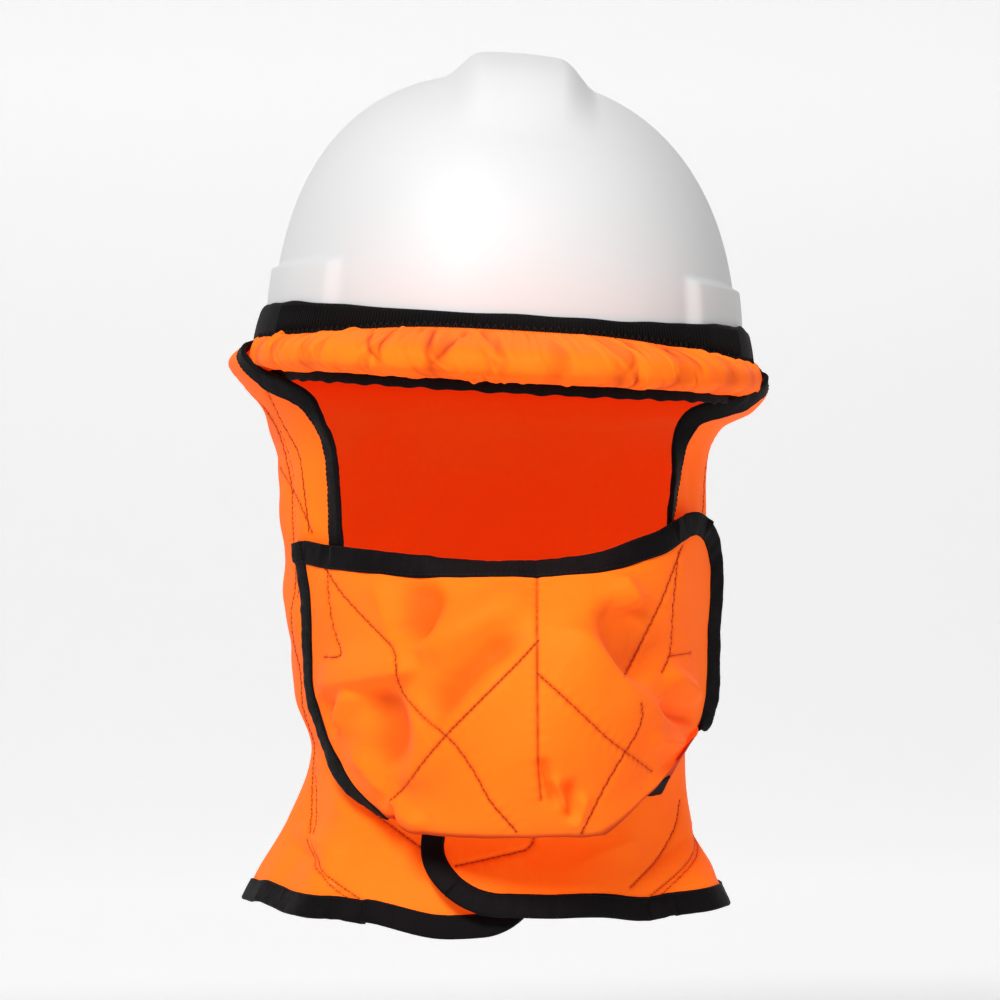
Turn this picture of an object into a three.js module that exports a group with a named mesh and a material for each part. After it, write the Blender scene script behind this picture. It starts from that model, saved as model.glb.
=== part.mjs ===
// Legionnaire cap of chemical-resistant cloth, worn on a hard hat: a gathered cover on the peak, a cape of
// three panels hung from the brim, a mouth cover across the face opening, and black tape on the edges.
// Millimetres, +Z up. The front faces -Y and the wearer's left is +X. The origin is the middle of the hat's
// head opening. Angles go round +Z from the front: 0 is the front, 90 the wearer's left, 180 the back.
import * as THREE from "three";

const { degToRad, lerp, clamp, smoothstep } = THREE.MathUtils;

// Driving dimensions.
const hat = {
  roll: 3, // degrees that the hat leans towards the wearer's left
  yaw: -2.5, // degrees that it is turned, its front towards the wearer's right
  lean: 5, // how far the top of the dome lies towards the wearer's right
  leanPower: 1.5,
  halfWidth: 106.5,
  front: 122,
  back: 128,
  rimZ: -8,
  height: 132.5, // from the rim to the top of the dome
  planPower: 2.2,
  domePower: 2.4,
  wall: 2.6,
  brimOut: 8,
  brimDrop: 3,
  peakOut: 44,
  peakDrop: 6.5,
  peakPower: 3,
};
const crest = { height: 10, flatHalf: 16, footHalf: 35, startLift: 42, fullLift: 66 };
const lug = { out: 3, from: 39, to: 82, ramp: 7, topZ: 30, fade: 5 };
const crownElastic = { wall: 2, flare: 3, frontTop: 9, sideTop: 13, frontBottom: 2.6, sideBottom: -2.6 };
const crownElasticTurn = { front: 12, side: 60 }; // degrees between which it widens
const peakCover = { endAngle: 65.5, puff: 2, lip: 3.2, sideLip: 2.5, lipTop: 3.4, tuck: 4, endShare: 0.4 };
const peakCoverDrop = { front: 5.5, side: 5 };
const gather = { size: 1.1, count: 34, wander: 1.6, wanders: 5, slant: 1.2 };
const peakElastic = { endAngle: 53, wall: 1.6, rise: 1.2, drop: 5 };
const cloth = { wall: 1.2, gap: 0.4 };
const tape = { out: 9, lip: 1.2, half: 2.1, slot: 1.4, mouth: 0.5 };
const hood = { planPower: 2.1, seamGap: 0.25 };
const flutes = { count: 7, size: 4, phase: 0.6, from: 30, full: 75 };
const flap = { lift: 5.4, fullAngle: 13, dip: 6, dipAngle: 26, rise: 4 };
const flapCorner = { rows: 0.9, share: 0.3, steps: 8, crowding: 1.5 };
const mouthCorner = { rows: 1, share: 0.14, steps: 3 };
const mouthGrid = { tapeShare: 0.04, steps: 14 };

// Sections of the hood from the elastic to the hem. half, front and back are its reach from the middle, roll
// is its lean in degrees, shift the X of its middle and steps the number of strips down to the next one.
const hoodRows = [
  { name: "top", z: -3.6, half: 112.5, front: 127.5, back: 133.5, roll: 3, shift: 0, steps: 2 },
  { name: "over", z: -6.5, half: 119, front: 134, back: 138.5, roll: 3, shift: -1, steps: 2 },
  { name: "brim", z: -13, half: 123, front: 137, back: 141, roll: 3, shift: -2, steps: 2 },
  { name: "drop", z: -23, half: 116, front: 129, back: 138, roll: 2.7, shift: -1, steps: 3 },
  { name: "under", z: -33, half: 104, front: 120, back: 131, roll: 2, shift: -4, steps: 2 },
  { name: "temple", z: -50, half: 98.5, front: 110, back: 125, roll: 1, shift: -4.5, steps: 1 },
  { name: "cheek", z: -80, half: 97, front: 104, back: 119, roll: 0, shift: -4.5, steps: 1 },
  { name: "jaw", z: -120, half: 95, front: 103, back: 113, roll: 0, shift: -4, steps: 1 },
  { name: "chin", z: -158, half: 91, front: 98, back: 106, roll: 0, shift: -2, steps: 6 },
  { name: "throat", z: -186, half: 84.5, front: 92, back: 100, roll: 0, shift: -2, steps: 2 },
  { name: "collar", z: -216, half: 90, front: 93, back: 105, roll: 0, shift: -4, steps: 4 },
  { name: "hem", z: -243, half: 106, front: 103, back: 120, roll: 0, shift: -6, steps: 0 },
];

// Angles in each of those sections: of the seam where a front panel meets the back, and of the free edges of
// the left and the right panel, which cross the middle below the chin.
const hoodEdges = [
  { name: "top", seam: 102, left: 73, right: 77 },
  { name: "over", seam: 101, left: 73, right: 77 },
  { name: "brim", seam: 98, left: 73, right: 77 },
  { name: "drop", seam: 92, left: 67, right: 69 },
  { name: "under", seam: 82, left: 49, right: 51.5 },
  { name: "temple", seam: 72, left: 48, right: 48 },
  { name: "cheek", seam: 68, left: 45, right: 49 },
  { name: "jaw", seam: 73, left: 47, right: 49 },
  { name: "chin", seam: 80, left: 44, right: 44 },
  { name: "throat", seam: 84, left: -18, right: -6 },
  { name: "collar", seam: 72, left: -18, right: -6 },
  { name: "hem", seam: 37, left: -18, right: -6 },
];

// Sections of the mouth cover from its top edge to the seam under its fold. frontY and frontZ are its middle;
// bow and sag are the powers that lead from there to its sides.
const mouthRows = [
  { name: "top", frontY: -121, frontZ: -101, bow: 3, sag: 2.4, steps: 4 },
  { name: "bridge", frontY: -138, frontZ: -118, bow: 2.4, sag: 2.4, steps: 2 },
  { name: "nose", frontY: -149, frontZ: -143, bow: 2.1, sag: 2, steps: 2 },
  { name: "mouth", frontY: -152, frontZ: -172, bow: 2, sag: 2, steps: 2 },
  { name: "chin", frontY: -145, frontZ: -197, bow: 2.2, sag: 1.8, steps: 4 },
  { name: "fold", frontY: -132, frontZ: -210, bow: 2.4, sag: 1.1, steps: 2 },
  { name: "under", frontY: -117, frontZ: -200, bow: 2.4, sag: 1.4, steps: 0 },
];

// Where the sides of those sections stand off the cheeks: off the hood by off, at an angle and a height. knee
// is the share of the way from the middle to the side that stays level.
const mouthLeft = [
  { name: "top", angle: 60, z: -77, off: 5, knee: 0 },
  { name: "bridge", angle: 63, z: -100, off: 6, knee: 0 },
  { name: "nose", angle: 64, z: -128, off: 6, knee: 0 },
  { name: "mouth", angle: 62, z: -150, off: 6, knee: 0 },
  { name: "chin", angle: 59, z: -168, off: 7, knee: 0.1 },
  { name: "fold", angle: 46, z: -176, off: 14, knee: 0.42 },
  { name: "under", angle: 44, z: -190, off: 8, knee: 0.3 },
];
const mouthRight = [
  { name: "top", angle: 58, z: -96, off: 4, knee: 0.2 },
  { name: "bridge", angle: 57, z: -112, off: 3.6, knee: 0.1 },
  { name: "nose", angle: 59, z: -133, off: 3.6, knee: 0 },
  { name: "mouth", angle: 61, z: -154, off: 4, knee: 0 },
  { name: "chin", angle: 56, z: -177, off: 7, knee: 0.2 },
  { name: "fold", angle: 31, z: -204, off: 15, knee: 0.75 },
  { name: "under", angle: 30, z: -193, off: 9, knee: 0.6 },
];

// Main folds of the mouth cover: ridges and dents that stand out by rise, between two places given by their
// share of the way across and their row.
const foldSpread = { across: 90, rows: 26, width: 12, calm: 6 };
const mouthFolds = [
  { name: "left ridge", fromAcross: 0.1, fromRow: 1.1, toAcross: 0.8, toRow: 2.5, rise: 4 },
  { name: "left dent", fromAcross: 0.5, fromRow: 0.6, toAcross: 0.75, toRow: 1.6, rise: -5 },
  { name: "right ridge", fromAcross: -0.85, fromRow: 1.9, toAcross: -0.5, toRow: 1.5, rise: 4 },
  { name: "right dent", fromAcross: -0.75, fromRow: 2.5, toAcross: -0.6, toRow: 3.2, rise: -5 },
  { name: "cheek dent", fromAcross: -0.45, fromRow: 0.4, toAcross: -0.5, toRow: 1, rise: -4 },
  { name: "middle dent", fromAcross: -0.45, fromRow: 2.5, toAcross: -0.1, toRow: 1, rise: -3 },
];

// Finishes.
const finish = (color, roughness) => new THREE.MeshStandardMaterial({ color, roughness, metalness: 0 });
const white = finish(0xf2f2f2, 0.35);
const orange = finish(0xff6a10, 0.75);
const black = finish(0x0d0c0f, 0.85);

// The value of a named column at a fractional row number, on a curve with no overshoot through the rows.
function column(rows, name, at) {
  const value = (i) => rows[clamp(i, 0, rows.length - 1)][name];
  const step = (i) => value(i + 1) - value(i);
  const slope = (i) => {
    if (i === 0) return step(0);
    if (i === rows.length - 1) return step(i - 1);
    const [before, after] = [step(i - 1), step(i)];
    return before * after > 0 ? (2 * before * after) / (before + after) : 0;
  };
  const i = clamp(Math.floor(at), 0, rows.length - 2);
  const t = at - i;
  const ease = t * t * (3 - 2 * t);
  const start = slope(i) * t * (1 - t) ** 2;
  const end = slope(i + 1) * t * t * (t - 1);
  return value(i) + step(i) * ease + start + end;
}

const rowNumber = (rows, name) => rows.findIndex((row) => row.name === name);

// The row number where a falling column, such as z, has a value.
function rowWhere(rows, name, value) {
  let [low, high] = [0, rows.length - 1];
  for (let i = 0; i < 24; i++) {
    const middle = (low + high) / 2;
    if (column(rows, name, middle) > value) low = middle;
    else high = middle;
  }
  return low;
}

// Evenly spaced numbers from one end to the other.
function spaced(from, to, steps) {
  return Array.from({ length: steps + 1 }, (_, i) => lerp(from, to, i / steps));
}

// The row numbers of a table's strips, as many from row to row as its column steps says.
function levelsOf(rows) {
  return rows.flatMap(({ steps }, i) => (steps ? spaced(i, i + 1, steps).slice(0, -1) : [i]));
}

// How far an oval reaches from its middle at an angle in radians.
function reach(angle, { halfWidth, front, back }, power) {
  const across = Math.abs(Math.sin(angle)) / halfWidth;
  const along = Math.abs(Math.cos(angle)) / (Math.cos(angle) > 0 ? front : back);
  return (across ** power + along ** power) ** (-1 / power);
}

const polar = (angle, r, z) => new THREE.Vector3(r * Math.sin(angle), -r * Math.cos(angle), z);

// A closed mesh from corners and triangles, with its faces pointing out.
function solid(corners, triangles) {
  const apart = (a, b) => corners[a].distanceTo(corners[b]) > 1e-4;
  const whole = triangles.filter(([a, b, c]) => apart(a, b) && apart(b, c) && apart(c, a));
  const cross = new THREE.Vector3();
  const volume = whole.reduce(
    (sum, [a, b, c]) => sum + corners[a].dot(cross.crossVectors(corners[b], corners[c])),
    0,
  );
  if (volume < 0) whole.forEach((triangle) => triangle.reverse());
  const geometry = new THREE.BufferGeometry().setFromPoints(corners);
  geometry.setIndex(whole.flat());
  geometry.computeVertexNormals();
  return geometry;
}

// A solid through closed sections of equal length. caps lists four-cornered pieces that close an end.
function loft(sections, caps, closed = false) {
  const count = sections[0].length;
  const triangles = [];
  const quad = (a, b, c, d) => triangles.push([a, b, c], [a, c, d]);
  const last = closed ? sections.length : sections.length - 1;
  for (let i = 0; i < last; i++) {
    const [here, next] = [i * count, ((i + 1) % sections.length) * count];
    for (let k = 0; k < count; k++) {
      const m = (k + 1) % count;
      quad(here + k, next + k, next + m, here + m);
    }
  }
  const end = (sections.length - 1) * count;
  if (!closed)
    for (const [a, b, c, d] of caps) {
      quad(a, b, c, d);
      quad(end + d, end + c, end + b, end + a);
    }
  return solid(sections.flat(), triangles);
}

// The unit normals of a grid of points.
function skinNormals(grid) {
  const [lastRow, lastColumn] = [grid.length - 1, grid[0].length - 1];
  return grid.map((line, r) =>
    line.map((_, c) => {
      const down = grid[Math.min(r + 1, lastRow)][c].clone().sub(grid[Math.max(r - 1, 0)][c]);
      const along = line[Math.min(c + 1, lastColumn)].clone().sub(line[Math.max(c - 1, 0)]);
      return along.cross(down).normalize();
    }),
  );
}

// A panel of cloth: a grid of points given a wall, half of it on each side.
function sheet(grid, wall, normals = skinNormals(grid)) {
  const [rows, columns] = [grid.length, grid[0].length];
  const corners = [0.5, -0.5].flatMap((share) =>
    grid.flatMap((line, r) => line.map((p, c) => p.clone().addScaledVector(normals[r][c], share * wall))),
  );
  const outer = (r, c) => r * columns + c;
  const inner = (r, c) => rows * columns + outer(r, c);
  const triangles = [];
  const rim = [];
  for (let r = 0; r + 1 < rows; r++)
    for (let c = 0; c + 1 < columns; c++) {
      const ring = [[r, c], [r, c + 1], [r + 1, c + 1], [r + 1, c]];
      const [a, b, e, d] = ring.map(([i, k]) => outer(i, k));
      const [w, x, y, z] = ring.map(([i, k]) => inner(i, k));
      triangles.push([a, b, e], [a, e, d], [y, x, w], [z, y, w]);
    }
  for (let c = 0; c + 1 < columns; c++) rim.push([[0, c], [0, c + 1]], [[rows - 1, c + 1], [rows - 1, c]]);
  for (let r = 0; r + 1 < rows; r++) rim.push([[r, columns - 1], [r + 1, columns - 1]], [[r + 1, 0], [r, 0]]);
  for (const [[r, c], [i, k]] of rim) {
    triangles.push([outer(i, k), outer(r, c), inner(r, c)], [outer(i, k), inner(r, c), inner(i, k)]);
  }
  return solid(corners, triangles);
}

// Ways along the border of a grid, as index pairs with the step that leads into the panel.
function alongRow(r, from, to, inwards) {
  const way = Math.sign(to - from);
  const count = Math.abs(to - from) + 1;
  return Array.from({ length: count }, (_, i) => ({ r, c: from + i * way, down: inwards, over: 0 }));
}

function alongColumn(c, from, to, inwards) {
  return alongRow(c, from, to, inwards).map((stop) => ({ r: stop.c, c, down: 0, over: inwards }));
}

// The stops of a way on a grid: a point of its border, the normal there and the way out of the panel.
function stopsOf(grid, way, normals = skinNormals(grid)) {
  return way.map(({ r, c, down, over }) => ({
    point: grid[r][c],
    normal: normals[r][c],
    out: grid[r][c].clone().sub(grid[r + down][c + over]),
  }));
}

// Tape folded over the border of a panel: a strip past the border, with a slot that the cloth sits in.
function foldedTape(stops) {
  const sections = stops.map(({ point, normal, out }, i) => {
    const before = stops[Math.max(i - 1, 0)].point;
    const after = stops[Math.min(i + 1, stops.length - 1)].point;
    const away = after.clone().sub(before).cross(normal).normalize();
    if (away.dot(out) < 0) away.negate();
    const at = (outwards, up) => point.clone().addScaledVector(away, outwards).addScaledVector(normal, up);
    return [
      at(tape.out, -tape.half),
      at(-tape.lip, -tape.half),
      at(-tape.lip, -tape.slot),
      at(tape.mouth, -tape.slot),
      at(tape.mouth, tape.slot),
      at(-tape.lip, tape.slot),
      at(-tape.lip, tape.half),
      at(tape.out, tape.half),
    ];
  });
  return loft(sections, [[0, 1, 2, 3], [0, 3, 4, 7], [4, 5, 6, 7]]);
}

// Rounds one corner of a unit square: a and b go from 0 to 1 towards the corner.
const roundCorner = (a, b) => [a * Math.sqrt(1 - (b * b) / 2), b * Math.sqrt(1 - (a * a) / 2)];

// Hard hat.
const rimReach = (angle) => reach(angle, hat, hat.planPower);
const peakShare = (angle) => Math.max(0, Math.cos(angle)) ** hat.peakPower;

// How far the accessory bosses at the sides stand out from the dome.
function lugRise(angle, z) {
  const side = Math.acos(clamp(Math.cos(angle), -1, 1));
  const [from, to, ramp] = [lug.from, lug.to, lug.ramp].map(degToRad);
  const across = smoothstep(side, from, from + ramp) * (1 - smoothstep(side, to, to + ramp));
  return lug.out * across * (1 - smoothstep(z, lug.topZ, lug.topZ + lug.fade));
}

// The dome's reach at a height, without its crest.
function domeReach(angle, z) {
  const rise = clamp((z - hat.rimZ) / hat.height, 0, 1);
  return rimReach(angle) * (1 - rise ** hat.domePower) ** (1 / hat.domePower) + lugRise(angle, z);
}

// A point of the dome, with its crest; inset goes in from the outer skin.
function domePoint(angle, lift, inset) {
  const flat = Math.cos(lift) ** (2 / hat.domePower);
  const rise = Math.sin(lift) ** (2 / hat.domePower);
  const z = hat.rimZ + (hat.height - inset) * rise;
  const boss = inset > 0 ? 0 : lugRise(angle, z);
  const p = polar(angle, (rimReach(angle) - inset) * flat + boss, z);
  p.x -= hat.lean * rise ** hat.leanPower;
  const across = 1 - smoothstep(Math.abs(p.x), crest.flatHalf, crest.footHalf);
  const along = smoothstep(lift, degToRad(crest.startLift), degToRad(crest.fullLift));
  return p.add(p.clone().normalize().multiplyScalar(crest.height * across * along));
}

function brimEdge(angle) {
  const share = peakShare(angle);
  return {
    r: rimReach(angle) + lerp(hat.brimOut, hat.peakOut, share),
    z: hat.rimZ - lerp(hat.brimDrop, hat.peakDrop, share),
  };
}

function helmetShell() {
  const lifts = spaced(0, Math.PI / 2, 10);
  const sections = spaced(-Math.PI, Math.PI, 40)
    .slice(1)
    .map((angle) => {
      const edge = brimEdge(angle);
      const middle = { r: (edge.r + rimReach(angle)) / 2, z: (edge.z + hat.rimZ) / 2 };
      const top = [edge, middle].map(({ r, z }) => polar(angle, r, z));
      const bottom = [middle, edge].map(({ r, z }) => polar(angle, r, z - hat.wall));
      const outer = lifts.map((lift) => domePoint(angle, lift, 0));
      const inner = lifts.map((lift) => domePoint(angle, lift, hat.wall)).reverse();
      return [...top, ...outer, ...inner, ...bottom];
    });
  return loft(sections, [], true);
}

// Elastic round the dome, from its top edge to the edge that the cloth is sewn to.
function crownElasticEdges(angle) {
  const side = smoothstep(Math.abs(angle), degToRad(crownElasticTurn.front), degToRad(crownElasticTurn.side));
  const top = lerp(crownElastic.frontTop, crownElastic.sideTop, side);
  const bottom = lerp(crownElastic.frontBottom, crownElastic.sideBottom, side);
  const off = cloth.gap + crownElastic.wall / 2;
  return {
    top: { r: domeReach(angle, top) + off, z: top },
    bottom: { r: domeReach(angle, bottom) + off + crownElastic.flare, z: bottom },
  };
}

function crownElasticBand() {
  const half = crownElastic.wall / 2;
  const sections = spaced(-Math.PI, Math.PI, 48)
    .slice(1)
    .map((angle) => {
      const { top, bottom } = crownElasticEdges(angle);
      const at = ({ r, z }, out) => polar(angle, r + out, z);
      return [at(top, half), at(bottom, half), at(bottom, -half), at(top, -half)];
    });
  return loft(sections, [], true);
}

// Peak cover: its section at an angle, from the elastic over the peak's edge to the elastic underneath.
function coverSection(angle) {
  const edge = brimEdge(angle);
  const { bottom } = crownElasticEdges(angle);
  const drop = lerp(peakCoverDrop.side, peakCoverDrop.front, peakShare(angle));
  const start = { r: bottom.r, z: bottom.z - cloth.gap - cloth.wall / 2 };
  const lip = lerp(peakCover.sideLip, peakCover.lip, peakShare(angle));
  const over = { r: edge.r + lip, z: edge.z + peakCover.lipTop };
  const between = { r: lerp(start.r, over.r, 0.5), z: lerp(start.z, over.z, 0.5) + peakCover.puff };
  const nose = { r: edge.r + lip, z: edge.z - hat.wall };
  const below = { r: edge.r - peakCover.tuck, z: edge.z - drop };
  const end = { r: lerp(rimReach(angle), edge.r, peakCover.endShare), z: edge.z - drop };
  return [start, between, over, nose, below, end];
}

function peakCoverGrid(steps, columns) {
  const end = degToRad(peakCover.endAngle);
  return spaced(-end, end, steps).map((angle) => {
    const points = coverSection(angle).map(({ r, z }) => new THREE.Vector3(r, 0, z));
    const curve = new THREE.CatmullRomCurve3(points, false, "centripetal");
    const wave = angle * gather.count + gather.wander * Math.sin(angle * gather.wanders);
    return spaced(0, 1, columns).map((t) => {
      const p = curve.getPoint(t);
      const tangent = curve.getTangent(t);
      const ripple = gather.size * Math.sin(Math.PI * t) * Math.sin(wave + gather.slant * t);
      return polar(angle, p.x - tangent.z * ripple, p.z + tangent.x * ripple);
    });
  });
}

function peakElasticBand() {
  const end = degToRad(peakElastic.endAngle);
  const sections = spaced(-end, end, 30).map((angle) => {
    const seat = coverSection(angle).at(-1);
    const r = seat.r - cloth.gap - peakElastic.wall / 2;
    const [near, far] = [r + peakElastic.wall / 2, r - peakElastic.wall / 2];
    const [high, low] = [seat.z + peakElastic.rise, seat.z - peakElastic.drop];
    const corners = [[near, high], [near, low], [far, low], [far, high]];
    return corners.map(([out, z]) => polar(angle, out, z));
  });
  return loft(sections, [[0, 1, 2, 3]]);
}

// Hood: a point of the cape at an angle and a row number, raised off the surface by off. side is 1 on the
// wearer's left panel, -1 on the right and 0 on the back.
function hoodPoint(angle, at, side = 0, off = 0) {
  const oval = {
    halfWidth: column(hoodRows, "half", at),
    front: column(hoodRows, "front", at),
    back: column(hoodRows, "back", at),
  };
  const [chin, throat, last] = ["chin", "throat", "hem"].map((name) => rowNumber(hoodRows, name));
  const behind = smoothstep(Math.abs(angle), degToRad(flutes.from), degToRad(flutes.full));
  const flute = flutes.size * behind * Math.sin(flutes.count * angle + flutes.phase);
  const seam = degToRad(column(hoodEdges, "seam", at) - hood.seamGap);
  const overlap = 1 - smoothstep(angle * side, degToRad(flap.fullAngle), seam);
  const lift = side > 0 ? flap.lift * overlap * smoothstep(at, chin - 1, chin) : 0;
  const dip = -flap.dip * Math.cos(2 * (angle + degToRad(flap.dipAngle)));
  const drop = side === 0 ? 0 : overlap * (side > 0 ? flap.rise : dip);
  const r = reach(angle, oval, hood.planPower) + flute * smoothstep(at, chin, last) + lift + off;
  const p = polar(angle, r, column(hoodRows, "z", at) + drop * smoothstep(at, throat, last));
  p.x += column(hoodRows, "shift", at);
  return p.applyAxisAngle(new THREE.Vector3(0, 1, 0), degToRad(column(hoodRows, "roll", at)));
}

function hoodNormal(angle, at, side) {
  const step = 0.01;
  const round = hoodPoint(angle + step, at, side).sub(hoodPoint(angle - step, at, side));
  const down = hoodPoint(angle, at + step, side).sub(hoodPoint(angle, at - step, side));
  return down.cross(round).normalize();
}

// A front panel, from its seam with the back to its free edge, as pairs of an angle and a row number. Its
// flap's lower corner is round.
function frontPanelPlan(side) {
  const last = hoodRows.length - 1;
  const free = side > 0 ? "left" : "right";
  const shares = spaced(1, 0, flapCorner.steps).map((t) => 1 - t ** flapCorner.crowding);
  return levelsOf(hoodRows).map((level) =>
    shares.map((share) => {
      const down = 1 - (last - level) / flapCorner.rows;
      const along = 1 - (1 - share) / flapCorner.share;
      const [roundAlong, roundDown] = down > 0 && along > 0 ? roundCorner(along, down) : [along, down];
      const at = last - flapCorner.rows * (1 - roundDown);
      const across = 1 - flapCorner.share * (1 - roundAlong);
      const seam = column(hoodEdges, "seam", at) - hood.seamGap;
      return { angle: side * degToRad(lerp(seam, column(hoodEdges, free, at), across)), at };
    }),
  );
}

// The back panel, from the left seam round the back to the right seam.
function backPanelPlan(steps) {
  return levelsOf(hoodRows).map((at) => {
    const seam = degToRad(column(hoodEdges, "seam", at) + hood.seamGap);
    const turns = spaced(seam, 2 * Math.PI - seam, steps);
    return turns.map((turn) => ({ angle: turn > Math.PI ? turn - 2 * Math.PI : turn, at }));
  });
}

// The points of a panel of the hood and the normals there.
function hoodPanel(plan, side) {
  return {
    grid: plan.map((line) => line.map(({ angle, at }) => hoodPoint(angle, at, side))),
    normals: plan.map((line) => line.map(({ angle, at }) => hoodNormal(angle, at, side))),
  };
}

// Mouth cover: a point from its right side (across -1) to its left side (1), at a row number.
function mouthPoint(across, at) {
  const front = (name) => column(mouthRows, name, at);
  const [side, rows] = across > 0 ? [1, mouthLeft] : [-1, mouthRight];
  const beside = (name) => column(rows, name, at);
  const hoodAt = rowWhere(hoodRows, "z", beside("z"));
  const seat = hoodPoint(side * degToRad(beside("angle")), hoodAt, side, beside("off"));
  const share = Math.abs(across);
  const bent = Math.max(0, share - beside("knee")) / (1 - beside("knee"));
  return new THREE.Vector3(
    seat.x * share,
    lerp(front("frontY"), seat.y, share ** front("bow")),
    lerp(front("frontZ"), seat.z, bent ** front("sag")),
  );
}

// How far the folds stand out at a place of the mouth cover; its edges stay calm.
function mouthFoldRise(across, at) {
  const place = (share, row) => new THREE.Vector3(share * foldSpread.across, row * foldSpread.rows, 0);
  const here = place(across, at);
  const rise = mouthFolds.reduce((sum, fold) => {
    const line = new THREE.Line3(place(fold.fromAcross, fold.fromRow), place(fold.toAcross, fold.toRow));
    const apart = line.closestPointToPoint(here, true, new THREE.Vector3()).distanceTo(here);
    return sum + fold.rise * Math.exp(-((apart / foldSpread.width) ** 2));
  }, 0);
  const [start, end] = ["mouth", "chin"].map((name) => rowNumber(mouthRows, name));
  const inside = smoothstep(at, 0, 1) * (1 - smoothstep(at, start, end));
  return rise * inside * (1 - Math.abs(across) ** foldSpread.calm);
}

// The left one of its upper corners is round.
function mouthCoverGrid() {
  const shares = [
    -1,
    mouthGrid.tapeShare - 1,
    ...spaced(mouthCorner.share - 1, 1 - mouthCorner.share, mouthGrid.steps),
    ...spaced(1 - mouthCorner.share, 1, mouthCorner.steps).slice(1),
  ];
  return levelsOf(mouthRows).map((level) =>
    shares.map((share) => {
      const up = 1 - level / mouthCorner.rows;
      const along = 1 - (1 - share) / mouthCorner.share;
      const [roundAlong, roundUp] = up > 0 && along > 0 ? roundCorner(along, up) : [along, up];
      const across = 1 - mouthCorner.share * (1 - roundAlong);
      const at = mouthCorner.rows * (1 - roundUp);
      const p = mouthPoint(across, at);
      p.y -= mouthFoldRise(across, at);
      return p;
    }),
  );
}

// A stop past the start of a way, as far as the tape is wide.
function ahead(stops) {
  const [first, second] = stops;
  const back = first.point.clone().sub(second.point).normalize();
  return { ...first, point: first.point.clone().addScaledVector(back, tape.out) };
}

// Assembly.
const cap = new THREE.Group();
const hatGroup = new THREE.Group();
hatGroup.rotation.set(0, degToRad(hat.roll), degToRad(hat.yaw));
cap.add(hatGroup);

function add(group, name, geometry, material) {
  const mesh = new THREE.Mesh(geometry, material);
  mesh.name = name;
  group.add(mesh);
}

add(hatGroup, "helmet_shell", helmetShell(), white);
add(hatGroup, "crown_elastic", crownElasticBand(), black);
add(hatGroup, "peak_cover", sheet(peakCoverGrid(62, 6), cloth.wall), orange);
add(hatGroup, "peak_elastic", peakElasticBand(), black);

const back = hoodPanel(backPanelPlan(18), 0);
const left = hoodPanel(frontPanelPlan(1), 1);
const right = hoodPanel(frontPanelPlan(-1), -1);
const lastRow = left.grid.length - 1;
const lastColumn = left.grid[0].length - 1;
const flapTop = levelsOf(hoodRows).indexOf(rowNumber(hoodRows, "throat"));
add(cap, "cape_back", sheet(back.grid, cloth.wall, back.normals), orange);
add(cap, "cape_left", sheet(left.grid, cloth.wall, left.normals), orange);
add(cap, "cape_right", sheet(right.grid, cloth.wall, right.normals), orange);

const faceWay = alongColumn(lastColumn, 1, flapTop - 1, -1);
add(cap, "face_binding_left", foldedTape(stopsOf(left.grid, faceWay, left.normals)), black);
add(cap, "face_binding_right", foldedTape(stopsOf(right.grid, faceWay, right.normals)), black);

const flapWay = [
  ...alongColumn(lastColumn, flapTop + 1, lastRow - 1, -1),
  ...alongRow(lastRow, lastColumn, 0, -1),
];
const hemStops = [
  ...stopsOf(left.grid, flapWay, left.normals),
  ...stopsOf(back.grid, alongRow(lastRow, 1, back.grid[0].length - 2, -1), back.normals),
  ...stopsOf(right.grid, flapWay, right.normals).reverse(),
];
add(cap, "hem_binding", foldedTape(hemStops), black);

const mouth = mouthCoverGrid();
const mouthLast = mouth[0].length - 1;
const mouthLevel = (name) => levelsOf(mouthRows).indexOf(rowNumber(mouthRows, name));
const topWay = [...alongRow(0, 1, mouthLast, 1), ...alongColumn(mouthLast, 1, mouthLevel("chin"), -1)];
const underWay = alongRow(mouth.length - 1, 2, mouthLast - mouthCorner.steps, -1);
const sideStops = stopsOf(mouth, alongColumn(0, 0, mouthLevel("fold") - 1, 1));
add(cap, "mouth_cover", sheet(mouth, cloth.wall), orange);
add(cap, "mouth_binding_top", foldedTape(stopsOf(mouth, topWay)), black);
add(cap, "mouth_binding_side", foldedTape([ahead(sideStops), ...sideStops]), black);
add(cap, "mouth_binding_under", foldedTape(stopsOf(mouth, underWay)), black);

export default cap;
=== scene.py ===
# Legionnaire cap of orange cloth on a white hard hat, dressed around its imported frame.
# Shapes are worked out in millimetres in the part's own frame and become metres when a mesh is made.
# Angles go round +Z from the front (0) to the wearer's left (90); the photo's left is the wearer's right.
import bpy
import bmesh
import numpy as np
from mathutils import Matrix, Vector
from mathutils.bvhtree import BVHTree
from mathutils.kdtree import KDTree


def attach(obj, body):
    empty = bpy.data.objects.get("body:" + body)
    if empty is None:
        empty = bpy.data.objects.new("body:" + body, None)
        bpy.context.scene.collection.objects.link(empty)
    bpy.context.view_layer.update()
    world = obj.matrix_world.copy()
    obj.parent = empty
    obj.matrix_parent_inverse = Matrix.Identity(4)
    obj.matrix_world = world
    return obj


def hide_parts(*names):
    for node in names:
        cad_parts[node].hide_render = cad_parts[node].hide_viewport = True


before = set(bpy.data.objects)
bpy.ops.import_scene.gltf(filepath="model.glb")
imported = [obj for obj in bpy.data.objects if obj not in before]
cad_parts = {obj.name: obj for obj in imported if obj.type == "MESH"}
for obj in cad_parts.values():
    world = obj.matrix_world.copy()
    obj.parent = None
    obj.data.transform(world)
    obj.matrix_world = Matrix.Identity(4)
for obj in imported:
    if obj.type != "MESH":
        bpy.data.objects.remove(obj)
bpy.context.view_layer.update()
mm = 0.001
pieces = {}
print("frame loaded,", len(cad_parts), "nodes")

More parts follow.
